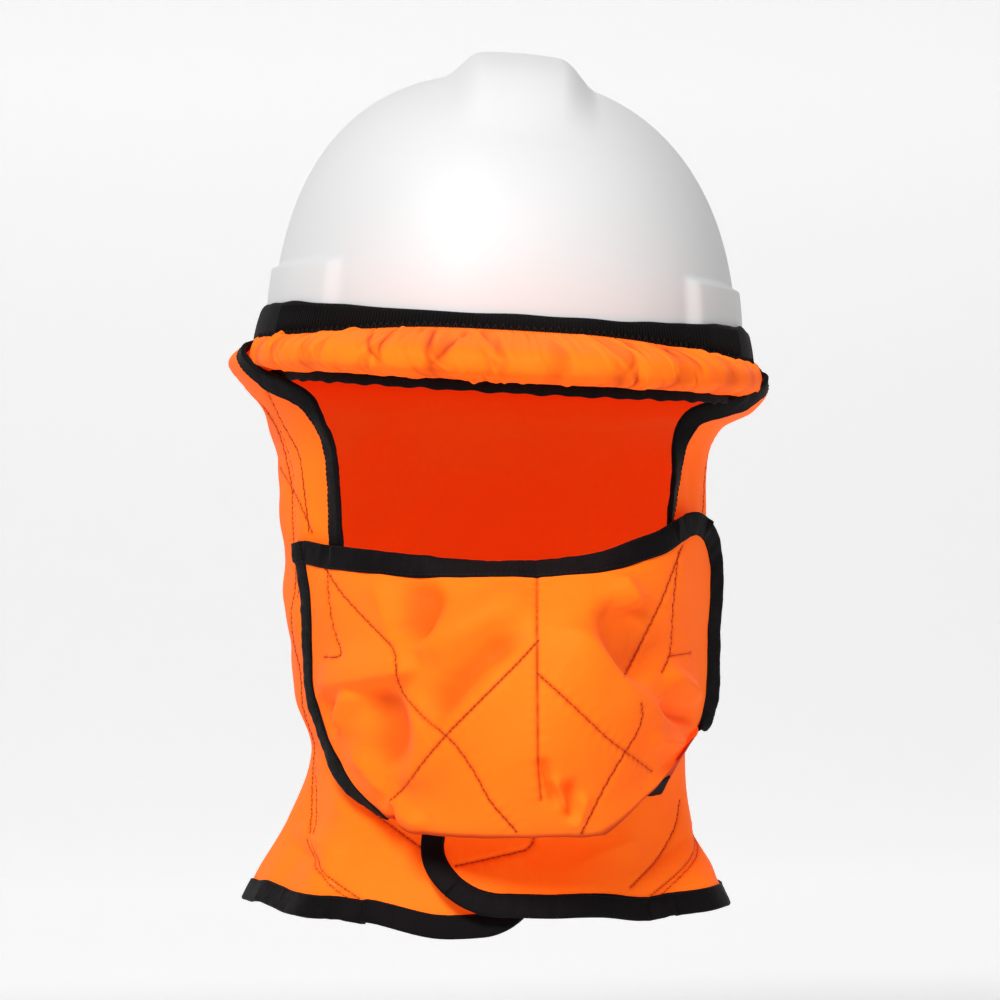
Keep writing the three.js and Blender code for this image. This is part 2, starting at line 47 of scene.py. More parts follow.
# camera at the photo's angle, a little to the wearer's right and level with the cheeks
shot = dict(azimuth=-5, distance=1500, height=-69, mmPerPixel=0.46, axisAt=503, pixels=1000, sensor=36)
shotTurn = np.radians(shot["azimuth"])
lookWay = np.array([-np.sin(shotTurn), np.cos(shotTurn), 0])
rightWay = np.array([np.cos(shotTurn), np.sin(shotTurn), 0])
upWay = np.array([0, 0, 1])
pixelsPerUnit = shot["distance"] / shot["mmPerPixel"]
sideStep = (shot["pixels"] / 2 - shot["axisAt"]) * shot["mmPerPixel"]
eye = -shot["distance"] * lookWay + sideStep * rightWay + shot["height"] * upWay


def toPixels(points):
    seen = points - eye
    depth = seen @ lookWay
    across = shot["pixels"] / 2 + pixelsPerUnit * (seen @ rightWay) / depth
    down = shot["pixels"] / 2 - pixelsPerUnit * (seen @ upWay) / depth
    return np.stack([across, down], -1)


def pixelRay(pixel):
    across = (pixel[0] - shot["pixels"] / 2) / pixelsPerUnit
    down = (pixel[1] - shot["pixels"] / 2) / pixelsPerUnit
    way = lookWay + across * rightWay - down * upWay
    return Vector(eye), Vector(way).normalized()


cameraData = bpy.data.cameras.new("photoCamera")
cameraData.sensor_width = shot["sensor"]
cameraData.lens = shot["sensor"] * pixelsPerUnit / shot["pixels"]
camera = bpy.data.objects.new("photoCamera", cameraData)
camera.location = eye * mm
camera.rotation_euler = (np.pi / 2, 0, shotTurn)
bpy.context.scene.collection.objects.link(camera)
bpy.context.scene.camera = camera


# numbers and curves
def smooth(value, low, high):
    t = np.clip((value - low) / (high - low), 0, 1)
    return t * t * (3 - 2 * t)


def bell(value, width):
    return np.exp(-((value / width) ** 2))


def blend(start, end, share):
    return start + (end - start) * share


def column(rows, name, at):  # a table's column at a fractional row number, with no overshoot
    value = np.array([row[name] for row in rows], float)
    step = np.diff(value)
    both = step[:-1] * step[1:]
    total = np.where(both > 0, step[:-1] + step[1:], 1)
    slope = np.concatenate([step[:1], np.where(both > 0, 2 * both / total, 0), step[-1:]])
    i = np.clip(np.floor(at).astype(int), 0, len(step) - 1)
    t = at - i
    bend = slope[i] * t * (1 - t) ** 2 + slope[i + 1] * t * t * (t - 1)
    return value[i] + step[i] * t * t * (3 - 2 * t) + bend


def rowWhere(rows, name, value, halvings=24):  # the row number where a falling column has a value
    low = np.zeros_like(value)
    high = np.full_like(value, len(rows) - 1.0)
    for _ in range(halvings):
        middle = (low + high) / 2
        above = column(rows, name, middle) > value
        low = np.where(above, middle, low)
        high = np.where(above, high, middle)
    return low


def reach(angle, halfWidth, front, back, power):  # how far an oval reaches from its middle
    along = np.abs(np.cos(angle)) / np.where(np.cos(angle) > 0, front, back)
    return ((np.abs(np.sin(angle)) / halfWidth) ** power + along**power) ** (-1 / power)


def polar(angle, r, z):
    return np.stack(np.broadcast_arrays(r * np.sin(angle), -r * np.cos(angle), z), -1)


def leaned(points, degrees):  # turned about Y, towards the wearer's left
    turn = np.radians(degrees)
    x, y, z = np.moveaxis(points, -1, 0)
    return np.stack([x * np.cos(turn) + z * np.sin(turn), y, z * np.cos(turn) - x * np.sin(turn)], -1)


def turned(points, degrees):  # turned about Z, towards the wearer's left
    turn = np.radians(degrees)
    x, y, z = np.moveaxis(points, -1, 0)
    return np.stack([x * np.cos(turn) - y * np.sin(turn), y * np.cos(turn) + x * np.sin(turn), z], -1)


def unit(vectors):
    return vectors / np.maximum(np.linalg.norm(vectors, axis=-1, keepdims=True), 1e-9)


def gridNormals(grid):
    return unit(np.cross(np.gradient(grid, axis=1), np.gradient(grid, axis=0)))


def crumple(points, size, seed, waves=9, lengths=(0.6, 1.6), turn=6.3):  # soft random swell, -1 to 1 or so
    draw = np.random.default_rng(seed)
    total = 0
    for _ in range(waves):
        way = unit(draw.normal(size=3))
        long = size * draw.uniform(*lengths)
        total = total + np.sin(points @ way * 2 * np.pi / long + draw.uniform(0, turn))
    return total / np.sqrt(waves)


def table(columns, *rows):  # a short table's rows, with the columns by name
    return [dict(zip(columns.split(), row)) for row in rows]


def roundCorner(share, down, part):  # rounds the corner of a sheet where share and down near 1
    along = 1 - (1 - share) / part
    inCorner = (down > 0) & (along > 0)
    a, b = np.clip(along, 0, 1), np.clip(down, 0, 1)
    along = np.where(inCorner, a * np.sqrt(1 - b * b / 2), along)
    return 1 - part * (1 - along), np.where(inCorner, b * np.sqrt(1 - a * a / 2), down)


def averaged(values, soft):  # a running mean
    return np.convolve(values, np.ones(2 * soft + 1) / (2 * soft + 1), "valid")


def eased(line, soft):  # a line with its bends softened
    longer = np.pad(line, ((soft, soft), (0, 0)), mode="reflect", reflect_type="odd")
    return np.stack([averaged(values, soft) for values in longer.T], -1)


def drawn(path, step=2, soft=5):  # pixels along a line drawn on the photo, with its bends softened
    path = np.array(path, float)
    along = np.concatenate([[0], np.cumsum(np.linalg.norm(np.diff(path, axis=0), axis=1))])
    at = np.linspace(0, along[-1], max(int(along[-1] / step), 3 * soft))
    return eased(np.stack([np.interp(at, along, path[:, k]) for k in (0, 1)], -1), soft)


foldDraw = dict(step=8, soft=2, fade=0.3, power=1.5)


def foldRise(points, folds):  # folds drawn on the photo, as the camera sees these points
    seen = toPixels(points)
    rise = np.zeros(points.shape[:-1])
    for fold in folds:
        line = drawn(fold["path"], foldDraw["step"], foldDraw["soft"])
        near = np.full(rise.shape, np.inf)
        here = np.zeros_like(rise)
        turn = np.zeros_like(rise)
        for i, (start, end) in enumerate(zip(line[:-1], line[1:])):
            way = end - start
            share = np.clip(((seen - start) @ way) / (way @ way), 0, 1)
            off = seen - start - share[..., None] * way
            apart = np.linalg.norm(off, axis=-1)
            closer = apart < near
            near = np.where(closer, apart, near)
            here = np.where(closer, (i + share) / (len(line) - 1), here)
            turn = np.where(closer, way[0] * off[..., 1] - way[1] * off[..., 0], turn)
        width = np.where(turn > 0, fold["right"], fold["left"])
        fade = fold.get("fade", foldDraw["fade"])
        ends = smooth(here, 0, fade) * (1 - smooth(here, 1 - fade, 1))
        rise += fold["rise"] * ends * np.exp(-((near / width) ** foldDraw["power"]))
    return rise


# meshes
def addMesh(name, points, faces, material, uv=None, paintedShadeAndStain=None):
    mesh = bpy.data.meshes.new(name)
    mesh.from_pydata((np.asarray(points) * mm).tolist(), [], faces)
    mesh.polygons.foreach_set("use_smooth", np.ones(len(mesh.polygons), bool))
    corners = np.zeros(len(mesh.loops), int)
    mesh.loops.foreach_get("vertex_index", corners)
    if uv is not None:
        layer = mesh.uv_layers.new(name="clothMap")
        layer.data.foreach_set("uv", (np.asarray(uv)[corners] * mm).ravel())
    # an attribute of painted shade and seam stain, which the cloth's colour reads
    if paintedShadeAndStain is not None:
        mesh.attributes.new("paintedShadeAndStain", "FLOAT", "POINT").data.foreach_set("value", np.ravel(paintedShadeAndStain))
    mesh.materials.append(material)
    mesh.validate()
    piece = bpy.data.objects.new(name, mesh)
    bpy.context.scene.collection.objects.link(piece)
    pieces[name] = piece
    return piece


def lengthsAlong(grid, axis):  # running lengths along a grid's rows or columns
    steps = np.linalg.norm(np.diff(grid, axis=axis), axis=-1)
    start = np.zeros_like(np.take(grid, [0], axis)[..., 0])
    return np.concatenate([start, np.cumsum(steps, axis)], axis)


def quadsOf(grid):
    index = np.arange(grid[..., 0].size).reshape(grid.shape[:2])
    return np.stack([index[:-1, :-1], index[:-1, 1:], index[1:, 1:], index[1:, :-1]], -1).reshape(-1, 4)


# innerShade is painted shade, added on the inside face of each cloth sheet
sheet = dict(wall=0.9, gap=0.4, innerShade=0.5, sharpAngle=60)


def clothSheet(name, grid, normals, material, paintedShadeAndStain):  # a sheet with two faces and a rim
    count = grid[..., 0].size
    index = np.arange(count).reshape(grid.shape[:2])
    quads = quadsOf(grid)
    ring = np.concatenate([index[0, :-1], index[:-1, -1], index[-1, :0:-1], index[:0:-1, 0]])
    after = np.roll(ring, -1)
    rim = np.stack([after, ring, ring + count, after + count], -1)
    faces = np.concatenate([quads, quads[:, ::-1] + count, rim])
    facing = np.cross(grid[1, 1] - grid[0, 0], grid[1, 0] - grid[0, 1]) @ normals[0, 0]
    if facing < 0:
        faces = faces[:, ::-1]
    half = normals * sheet["wall"] / 2
    points = np.concatenate([grid + half, grid - half]).reshape(-1, 3)
    uv = np.stack([lengthsAlong(grid, 1), lengthsAlong(grid, 0)], -1).reshape(-1, 2)
    # the inside face gets more painted shade, as it lies in shadow
    paintedShadeAndStain = np.concatenate([np.ravel(paintedShadeAndStain), np.ravel(paintedShadeAndStain) + sheet["innerShade"]])
    piece = addMesh(name, points, faces.tolist(), material, np.tile(uv, (2, 1)), paintedShadeAndStain)
    piece.data.set_sharp_from_angle(angle=np.radians(sheet["sharpAngle"]))
    return piece


mergeWithin = 1e-6


def loft(name, sections, material, closed=False, merge=False):  # a solid through closed sections
    count, around = sections.shape[:2]
    index = np.arange(count * around).reshape(count, around)
    after = np.roll(index, -1, 0) if closed else index[1:]
    here = index if closed else index[:-1]
    quads = np.stack([here, np.roll(here, -1, 1), np.roll(after, -1, 1), after], -1).reshape(-1, 4).tolist()
    if not closed:
        quads += [index[0, ::-1].tolist(), index[-1].tolist()]
    along = lengthsAlong(sections, 0)
    girth = np.linalg.norm(sections - np.roll(sections, 1, 1), axis=-1)
    uv = np.stack([along, np.cumsum(girth, 1)], -1).reshape(-1, 2)
    piece = addMesh(name, sections.reshape(-1, 3), quads, material, uv)
    body = bmesh.new()
    body.from_mesh(piece.data)
    if merge:
        bmesh.ops.remove_doubles(body, verts=body.verts, dist=mergeWithin)
    bmesh.ops.recalc_face_normals(body, faces=body.faces)
    body.to_mesh(piece.data)
    body.free()
    return piece


# shader helpers
def nodeIn(tree, kind, values=None, **settings):
    node = tree.nodes.new(kind)
    for key, value in settings.items():
        setattr(node, key, value)
    for socket, value in (values or {}).items():
        if isinstance(value, bpy.types.NodeSocket):
            tree.links.new(value, node.inputs[socket])
        else:
            node.inputs[socket].default_value = value
    return node


def mathIn(tree, operation, first, second=0.0):
    return nodeIn(tree, "ShaderNodeMath", {0: first, 1: second}, operation=operation).outputs[0]


def noise(tree, place, scale, detail):
    values = {"Vector": place, "Scale": scale, "Detail": detail}
    return nodeIn(tree, "ShaderNodeTexNoise", values).outputs["Fac"]


def shaderGroup(name, place, sizes, *outputs):  # a group that takes a place and sizes
    group = bpy.data.node_groups.new(name, "ShaderNodeTree")
    group.interface.new_socket(place, in_out="INPUT", socket_type="NodeSocketVector")
    for label, value in sizes.items():
        socket = group.interface.new_socket(label, in_out="INPUT", socket_type="NodeSocketFloat")
        socket.default_value = value
    for label in outputs:
        group.interface.new_socket(label, in_out="OUTPUT", socket_type="NodeSocketFloat")
    return group, group.nodes.new("NodeGroupInput"), group.nodes.new("NodeGroupOutput")


def weaveGroup():  # threads that pass over and under each other, on a map in metres
    group, start, end = shaderGroup("weave", "Map", {"Pitch": 0.0006, "Slant": 0.0}, "Height", "Shade")
    split = nodeIn(group, "ShaderNodeSeparateXYZ", {0: start.outputs["Map"]})
    turns = mathIn(group, "DIVIDE", np.pi, start.outputs["Pitch"])
    slanted = mathIn(group, "MULTIPLY_ADD", split.outputs["Y"], start.outputs["Slant"])
    group.links.new(split.outputs["X"], slanted.node.inputs[2])
    warp = mathIn(group, "SINE", mathIn(group, "MULTIPLY", slanted, turns))
    weft = mathIn(group, "SINE", mathIn(group, "MULTIPLY", split.outputs["Y"], turns))
    height = mathIn(group, "MULTIPLY", warp, weft)
    group.links.new(mathIn(group, "MULTIPLY_ADD", height, 0.5), end.inputs["Height"])
    group.links.new(noise(group, start.outputs["Map"], scale=900.0, detail=3.0), end.inputs["Shade"])
    return group


def crinkleGroup():  # the small creases that a stiff coated cloth keeps
    group, start, end = shaderGroup("crinkle", "Place", {"Size": 40.0}, "Height", "Tone")
    bent = noise(group, start.outputs["Place"], start.outputs["Size"], detail=4.0)
    bent.node.inputs["Distortion"].default_value = 0.6
    ridge = mathIn(group, "ABSOLUTE", mathIn(group, "SUBTRACT", bent, 0.5))
    group.links.new(ridge, end.inputs["Height"])
    group.links.new(noise(group, start.outputs["Place"], scale=14.0, detail=2.0), end.inputs["Tone"])
    return group


weave = weaveGroup()
crinkle = crinkleGroup()


def startMaterial(name, constants):
    material = bpy.data.materials.new(name)
    material.use_nodes = True
    tree = material.node_tree
    shader = tree.nodes["Principled BSDF"]
    for socket, value in constants.items():
        shader.inputs[socket].default_value = value
    return material, tree, shader


def usedGroup(tree, group, values):
    return nodeIn(tree, "ShaderNodeGroup", values, node_tree=group)


def mixed(tree, share, first, second):
    return nodeIn(tree, "ShaderNodeMix", {0: share, 6: first, 7: second}, data_type="RGBA").outputs[2]


def ranged(tree, value, low=0.0, high=1.0, fromLow=0.0, fromHigh=1.0):
    names = {"Value": value, "From Min": fromLow, "From Max": fromHigh, "To Min": low, "To Max": high}
    return nodeIn(tree, "ShaderNodeMapRange", names).outputs[0]


def bumped(tree, height, strength, distance, below=None):  # a bump's normal, over that of the bump below it
    values = {"Height": height, "Strength": strength, "Distance": distance}
    if below is not None:
        values["Normal"] = below
    return nodeIn(tree, "ShaderNodeBump", values).outputs["Normal"]


def feed(tree, shader, sources):
    for socket, source in sources.items():
        tree.links.new(source, shader.inputs[socket])


# geometry nodes helpers
def geometryTree(name, *sizes):  # a tree that takes sizes and a material
    tree = bpy.data.node_groups.new(name, "GeometryNodeTree")
    tree.interface.new_socket("Geometry", in_out="INPUT", socket_type="NodeSocketGeometry")
    for label in sizes:
        tree.interface.new_socket(label, in_out="INPUT", socket_type="NodeSocketFloat")
    tree.interface.new_socket("Material", in_out="INPUT", socket_type="NodeSocketMaterial")
    tree.interface.new_socket("Geometry", in_out="OUTPUT", socket_type="NodeSocketGeometry")
    return tree, tree.nodes.new("NodeGroupInput"), tree.nodes.new("NodeGroupOutput")


def finishTree(tree, start, end, geometry):
    real = nodeIn(tree, "GeometryNodeRealizeInstances", {"Geometry": geometry})
    shaded = nodeIn(tree, "GeometryNodeSetShadeSmooth", {"Geometry": real.outputs[0]})
    finish = {"Geometry": shaded.outputs[0], "Material": start.outputs["Material"]}
    done = nodeIn(tree, "GeometryNodeSetMaterial", finish)
    tree.links.new(done.outputs[0], end.inputs["Geometry"])
    return tree


def setOn(tree, points, rotation, sizes, segments, rings):  # small round bodies stretched on points
    body = nodeIn(tree, "GeometryNodeMeshUVSphere", {"Segments": segments, "Rings": rings, "Radius": 0.5})
    size = nodeIn(tree, "ShaderNodeCombineXYZ", dict(zip("XYZ", sizes)))
    values = {"Points": points, "Instance": body.outputs["Mesh"], "Rotation": rotation}
    values["Scale"] = size.outputs[0]
    return nodeIn(tree, "GeometryNodeInstanceOnPoints", values).outputs[0]


def stitchTree():  # short lengths of thread, laid one after the other along lines
    tree, start, end = geometryTree("stitchRow", "Pitch", "Long", "Thick")
    lines = nodeIn(tree, "GeometryNodeMeshToCurve", {"Mesh": start.outputs["Geometry"]})
    run = {"Curve": lines.outputs[0], "Length": start.outputs["Pitch"]}
    spots = nodeIn(tree, "GeometryNodeCurveToPoints", run, mode="LENGTH")
    sizes = [start.outputs[name] for name in ("Thick", "Thick", "Long")]
    laid = setOn(tree, spots.outputs["Points"], spots.outputs["Rotation"], sizes, segments=7, rings=5)
    return finishTree(tree, start, end, laid)


def ribTree():  # upright cords side by side, each as tall as its point says
    tree, start, end = geometryTree("ribRow", "Wide")
    up = nodeIn(tree, "GeometryNodeInputNamedAttribute", {"Name": "ribUp"}, data_type="FLOAT_VECTOR")
    tall = nodeIn(tree, "GeometryNodeInputNamedAttribute", {"Name": "ribTall"}, data_type="FLOAT")
    turn = nodeIn(tree, "FunctionNodeAlignRotationToVector", {"Vector": up.outputs["Attribute"]}, axis="Z")
    sizes = [start.outputs["Wide"], start.outputs["Wide"], tall.outputs["Attribute"]]
    laid = setOn(tree, start.outputs["Geometry"], turn.outputs[0], sizes, segments=6, rings=6)
    return finishTree(tree, start, end, laid)


def threadTree():  # one thread drawn along a line
    tree, start, end = geometryTree("threadRun", "Radius")
    lines = nodeIn(tree, "GeometryNodeMeshToCurve", {"Mesh": start.outputs["Geometry"]})
    circle = {"Resolution": 6, "Radius": start.outputs["Radius"]}
    ring = nodeIn(tree, "GeometryNodeCurvePrimitiveCircle", circle)
    sweep = {"Curve": lines.outputs[0], "Profile Curve": ring.outputs["Curve"], "Fill Caps": True}
    tube = nodeIn(tree, "GeometryNodeCurveToMesh", sweep)
    return finishTree(tree, start, end, tube.outputs[0])


stitchRow, ribRow, threadRun = stitchTree(), ribTree(), threadTree()


def grown(name, lines, tree, values, attributes=None):  # a plain mesh grown from lines or points by a tree
    points = np.concatenate(lines)
    edges, first = [], 0
    for line in lines:
        edges += [(first + i, first + i + 1) for i in range(len(line) - 1)]
        first += len(line)
    mesh = bpy.data.meshes.new(name + "Path")
    mesh.from_pydata((points * mm).tolist(), [] if attributes else edges, [])
    for label, (kind, field, value) in (attributes or {}).items():
        mesh.attributes.new(label, kind, "POINT").data.foreach_set(field, np.ravel(value))
    piece = bpy.data.objects.new(name, mesh)
    bpy.context.scene.collection.objects.link(piece)
    modifier = piece.modifiers.new("grow", "NODES")
    modifier.node_group = tree
    for item in tree.interface.items_tree:
        if item.in_out == "INPUT" and item.name in values:
            modifier[item.identifier] = values[item.name]
    graph = bpy.context.evaluated_depsgraph_get()
    made = bpy.data.meshes.new_from_object(piece.evaluated_get(graph))
    piece.modifiers.remove(modifier)
    piece.data = made
    bpy.data.meshes.remove(mesh)
    pieces[name] = piece
    return piece


# materials
def orangeCloth():
    # glow is the colour of a painted glow: the cloth's emission stands in for its fluorescence and keeps its
    # red bright even in shade
    look = dict(bright=(1.0, 0.3, 0.014, 1), deep=(1.0, 0.255, 0.009, 1), shadedAndStained=(0.5, 0.03, 0.002, 1),
                glow=(1.0, 0.022, 0.0, 1), glowInShade=(0.3, 0.004, 0.0, 1))
    material, tree, shader = startMaterial(
        "orangeCloth",
        {"Specular IOR Level": 0.16, "Sheen Weight": 0.02, "Sheen Roughness": 0.5, "Emission Strength": 0.5},
    )
    place = nodeIn(tree, "ShaderNodeTexCoord")
    threads = usedGroup(tree, weave, {"Map": place.outputs["UV"], "Pitch": 0.0007})
    creases = usedGroup(tree, crinkle, {"Place": place.outputs["Object"], "Size": 55.0})
    # the attribute read here turns the colour deep red and dims the painted glow where shade and seam stain
    # are painted in
    shadeAndStainShare = nodeIn(tree, "ShaderNodeAttribute", attribute_name="paintedShadeAndStain").outputs["Fac"]
    tone = ranged(tree, creases.outputs["Tone"], fromLow=0.35, fromHigh=0.65)
    ground = mixed(tree, tone, look["deep"], look["bright"])
    flecked = mixed(tree, ranged(tree, threads.outputs["Shade"], high=0.12), ground, look["deep"])
    fine = bumped(tree, threads.outputs["Height"], strength=0.25, distance=0.0001)
    feed(tree, shader, {
        "Base Color": mixed(tree, shadeAndStainShare, flecked, look["shadedAndStained"]),
        "Emission Color": mixed(tree, shadeAndStainShare, look["glow"], look["glowInShade"]),
        "Roughness": ranged(tree, threads.outputs["Shade"], low=0.64, high=0.8),
        "Normal": bumped(tree, creases.outputs["Height"], strength=0.35, distance=0.002, below=fine),
    })
    return material


def blackCloth(name, pitch, slant, dark, light, roughness):
    material, tree, shader = startMaterial(
        name, {"Specular IOR Level": 0.16, "Sheen Weight": 0.02, "Sheen Roughness": 0.35}
    )
    place = nodeIn(tree, "ShaderNodeTexCoord")
    threads = usedGroup(tree, weave, {"Map": place.outputs["UV"], "Pitch": pitch, "Slant": slant})
    creases = usedGroup(tree, crinkle, {"Place": place.outputs["Object"], "Size": 130.0})
    worn = mathIn(tree, "MULTIPLY", threads.outputs["Shade"], creases.outputs["Tone"])
    fine = bumped(tree, threads.outputs["Height"], strength=0.5, distance=0.0002)
    feed(tree, shader, {
        "Base Color": mixed(tree, ranged(tree, worn, fromLow=0.1, fromHigh=0.5), dark, light),
        "Roughness": ranged(tree, threads.outputs["Shade"], roughness - 0.1, roughness + 0.1),
        "Normal": bumped(tree, creases.outputs["Height"], strength=0.4, distance=0.0015, below=fine),
    })
    return material


def whitePlastic():
    look = dict(white=(0.9, 0.9, 0.905, 1), warm=(0.87, 0.868, 0.865, 1))
    # a faint emission gives the white plastic a painted glow, brighter than the lamps alone make it
    material, tree, shader = startMaterial(
        "whitePlastic",
        {"Specular IOR Level": 0.4, "Coat Weight": 0.12, "Coat Roughness": 0.4, "Emission Strength": 0.08},
    )
    place = nodeIn(tree, "ShaderNodeTexCoord").outputs["Object"]
    cloudy = noise(tree, place, scale=9.0, detail=3.0)
    skin = noise(tree, place, scale=420.0, detail=2.0)
    share = ranged(tree, cloudy, fromLow=0.35, fromHigh=0.65)
    feed(tree, shader, {
        "Base Color": mixed(tree, share, look["white"], look["warm"]),
        "Roughness": ranged(tree, cloudy, low=0.44, high=0.54),
        "Emission Color": mixed(tree, cloudy, look["warm"], look["white"]),
        "Normal": bumped(tree, skin, strength=0.05, distance=0.0003),
    })
    return material


def threadFinish(name, dark, light):
    material, tree, shader = startMaterial(name, {"Specular IOR Level": 0.3})
    place = nodeIn(tree, "ShaderNodeTexCoord").outputs["Object"]
    twist = noise(tree, place, scale=1500.0, detail=2.0)
    feed(tree, shader, {
        "Base Color": mixed(tree, twist, dark, light),
        "Roughness": ranged(tree, twist, low=0.55, high=0.8),
        "Normal": bumped(tree, twist, strength=0.4, distance=0.0001),
    })
    return material


orange = orangeCloth()
tapeBlack = blackCloth(
    "blackTape", pitch=0.0009, slant=0.6, roughness=0.7,
    dark=(0.002, 0.0016, 0.002, 1), light=(0.008, 0.006, 0.008, 1),
)
elasticBlack = blackCloth(
    "blackElastic", pitch=0.0012, slant=0.0, roughness=0.8,
    dark=(0.002, 0.0018, 0.002, 1), light=(0.011, 0.009, 0.01, 1),
)
white = whitePlastic()
redThread = threadFinish("redThread", (0.24, 0.022, 0.006, 1), (0.4, 0.05, 0.01, 1))
blackThread = threadFinish("blackThread", (0.004, 0.004, 0.005, 1), (0.02, 0.018, 0.02, 1))
print("materials made")

# hard hat: a dome with a crest and side bosses, a narrow brim and a peak
hat = dict(
    roll=3, yaw=-2.5, lean=5, leanPower=1.5, halfWidth=106.5, front=122, back=128, rimZ=-8, height=132.5,
    planPower=2.2, domePower=2.4, wall=2.6,
    brimOut=8, brimDrop=3, peakOut=44, peakDrop=6.5, peakPower=3,
)
crest = dict(height=10, flatHalf=16, footHalf=35, startLift=42, fullLift=66)
boss = dict(out=3, start=39, end=82, ramp=5, topZ=30, fade=1.8)
shellGrid = dict(turns=480, lifts=140, innerLifts=18, brim=6, lip=7)


def onHat(points):
    return leaned(turned(points, hat["yaw"]), hat["roll"])


def rimReach(angle):
    return reach(angle, hat["halfWidth"], hat["front"], hat["back"], hat["planPower"])


def peakShare(angle):
    return np.maximum(0, np.cos(angle)) ** hat["peakPower"]


def bossRise(angle, z):
    side = np.degrees(np.arccos(np.clip(np.cos(angle), -1, 1)))
    start, end, ramp = boss["start"], boss["end"], boss["ramp"]
    across = smooth(side, start, start + ramp) * (1 - smooth(side, end, end + ramp))
    return boss["out"] * across * (1 - smooth(z, boss["topZ"], boss["topZ"] + boss["fade"]))


def domeReach(angle, z):
    rise = np.clip((z - hat["rimZ"]) / hat["height"], 0, 1)
    return rimReach(angle) * (1 - rise ** hat["domePower"]) ** (1 / hat["domePower"]) + bossRise(angle, z)


def domePoint(angle, lift, inset=0):
    flat = np.maximum(np.cos(lift), 0) ** (2 / hat["domePower"])
    rise = np.sin(lift) ** (2 / hat["domePower"])
    z = hat["rimZ"] + (hat["height"] - inset) * rise
    out = bossRise(angle, z) if inset == 0 else 0
    p = polar(angle, (rimReach(angle) - inset) * flat + out, z)
    p[..., 0] -= hat["lean"] * rise ** hat["leanPower"]
    across = 1 - smooth(np.abs(p[..., 0]), crest["flatHalf"], crest["footHalf"])
    along = smooth(np.degrees(lift), crest["startLift"], crest["fullLift"])
    return p + unit(p) * (crest["height"] * across * along)[..., None]


def brimEdge(angle):
    share = peakShare(angle)
    r = rimReach(angle) + blend(hat["brimOut"], hat["peakOut"], share)
    return r, hat["rimZ"] - blend(hat["brimDrop"], hat["peakDrop"], share)


def helmetShell():
    angle = np.linspace(-np.pi, np.pi, shellGrid["turns"], endpoint=False)[:, None]
    edgeR, edgeZ = brimEdge(angle)
    rim = rimReach(angle)
    share = np.linspace(0, 1, shellGrid["brim"], endpoint=False)
    turn = np.linspace(-np.pi / 2, np.pi / 2, shellGrid["lip"])
    half = hat["wall"] / 2
    lip = polar(angle, edgeR - half + half * np.cos(turn), edgeZ - half + half * np.sin(turn))
    brimTop = polar(angle, blend(edgeR - half, rim, share[1:]), blend(edgeZ, hat["rimZ"], share[1:]))
    brimLow = polar(angle, blend(rim, edgeR - half, share), blend(hat["rimZ"], edgeZ, share) - hat["wall"])
    outer = domePoint(angle, np.linspace(0, np.pi / 2, shellGrid["lifts"]))
    inner = domePoint(angle, np.linspace(np.pi / 2, 0, shellGrid["innerLifts"]), hat["wall"])
    sections = onHat(np.concatenate([lip, brimTop, outer, inner, brimLow], 1))
    return loft("hardHat", sections, white, closed=True, merge=True)


shell = helmetShell()
print("hard hat made,", len(shell.data.polygons), "faces")

# elastic round the dome, wider and plain at the sides
crownElastic = dict(
    wall=2.0, flare=3.0, frontTop=9, sideTop=13, frontBottom=2.6, sideBottom=-2.6, turnFront=12, turnSide=60,
    gap=0.4, steps=720, wave=0.35, waveSize=26, seed=3, overlap=1.0, bulge=0.5,
)
bandProfile = table(
    "share out",
    (0, 0), (0.04, 0.7), (0.13, 1), (0.3, 1), (0.5, 1), (0.7, 1), (0.87, 1), (0.96, 0.7),
    (1, 0), (0.96, -0.7), (0.87, -1), (0.5, -1), (0.13, -1), (0.04, -0.7),
)


def crownElasticEdges(angle):
    e = crownElastic
    side = smooth(np.degrees(np.abs(angle)), e["turnFront"], e["turnSide"])
    top = blend(e["frontTop"], e["sideTop"], side)
    bottom = blend(e["frontBottom"], e["sideBottom"], side)
    off = e["gap"] + e["wall"] / 2
    return (domeReach(angle, top) + off, top), (domeReach(angle, bottom) + off + e["flare"], bottom)


def crownElasticBand():
    e = crownElastic
    angle = np.linspace(-np.pi, np.pi, e["steps"], endpoint=False)
    (topR, topZ), (lowR, lowZ) = crownElasticEdges(angle)
    wave = e["wave"] * crumple(polar(angle, topR, topZ), e["waveSize"], e["seed"])
    share, out = (np.array([row[name] for row in bandProfile]) for name in ("share", "out"))
    bulge = e["bulge"] * np.sin(np.pi * share)
    r = blend(topR[:, None], lowR[:, None], share) + out * e["wall"] / 2 + bulge
    z = blend((topZ + wave)[:, None], (lowZ + wave - e["overlap"])[:, None], share)
    return loft("crownElastic", onHat(polar(angle[:, None], r, z)), elasticBlack, closed=True)


crownElasticBand()

# cloth gathered over the peak, from the elastic round its edge to the elastic underneath
peakCover = dict(
    leftEnd=71.5, rightEnd=69.5, puff=2, lip=3.2, sideLip=2.5, lipTop=3.4, tuck=4, endShare=0.4,
    dropFront=5.5, dropSide=5, turns=760, steps=64, flatUntil=0.14, calmFrom=0.94, calm=0.6,
)
gather = dict(
    size=0.4, count=34, wander=1.6, wanders=5, slant=1.2, folds=280, low=0.2, high=0.9, seed=11,
    narrow=0.004, broad=0.013, lean=0.07, leanSpread=0.08, leanAt=0.2, fromTop=0.65,
    shortest=0.3, longest=0.75, fadeFrom=0.4, valleyShade=1.2, darkest=0.75,
)


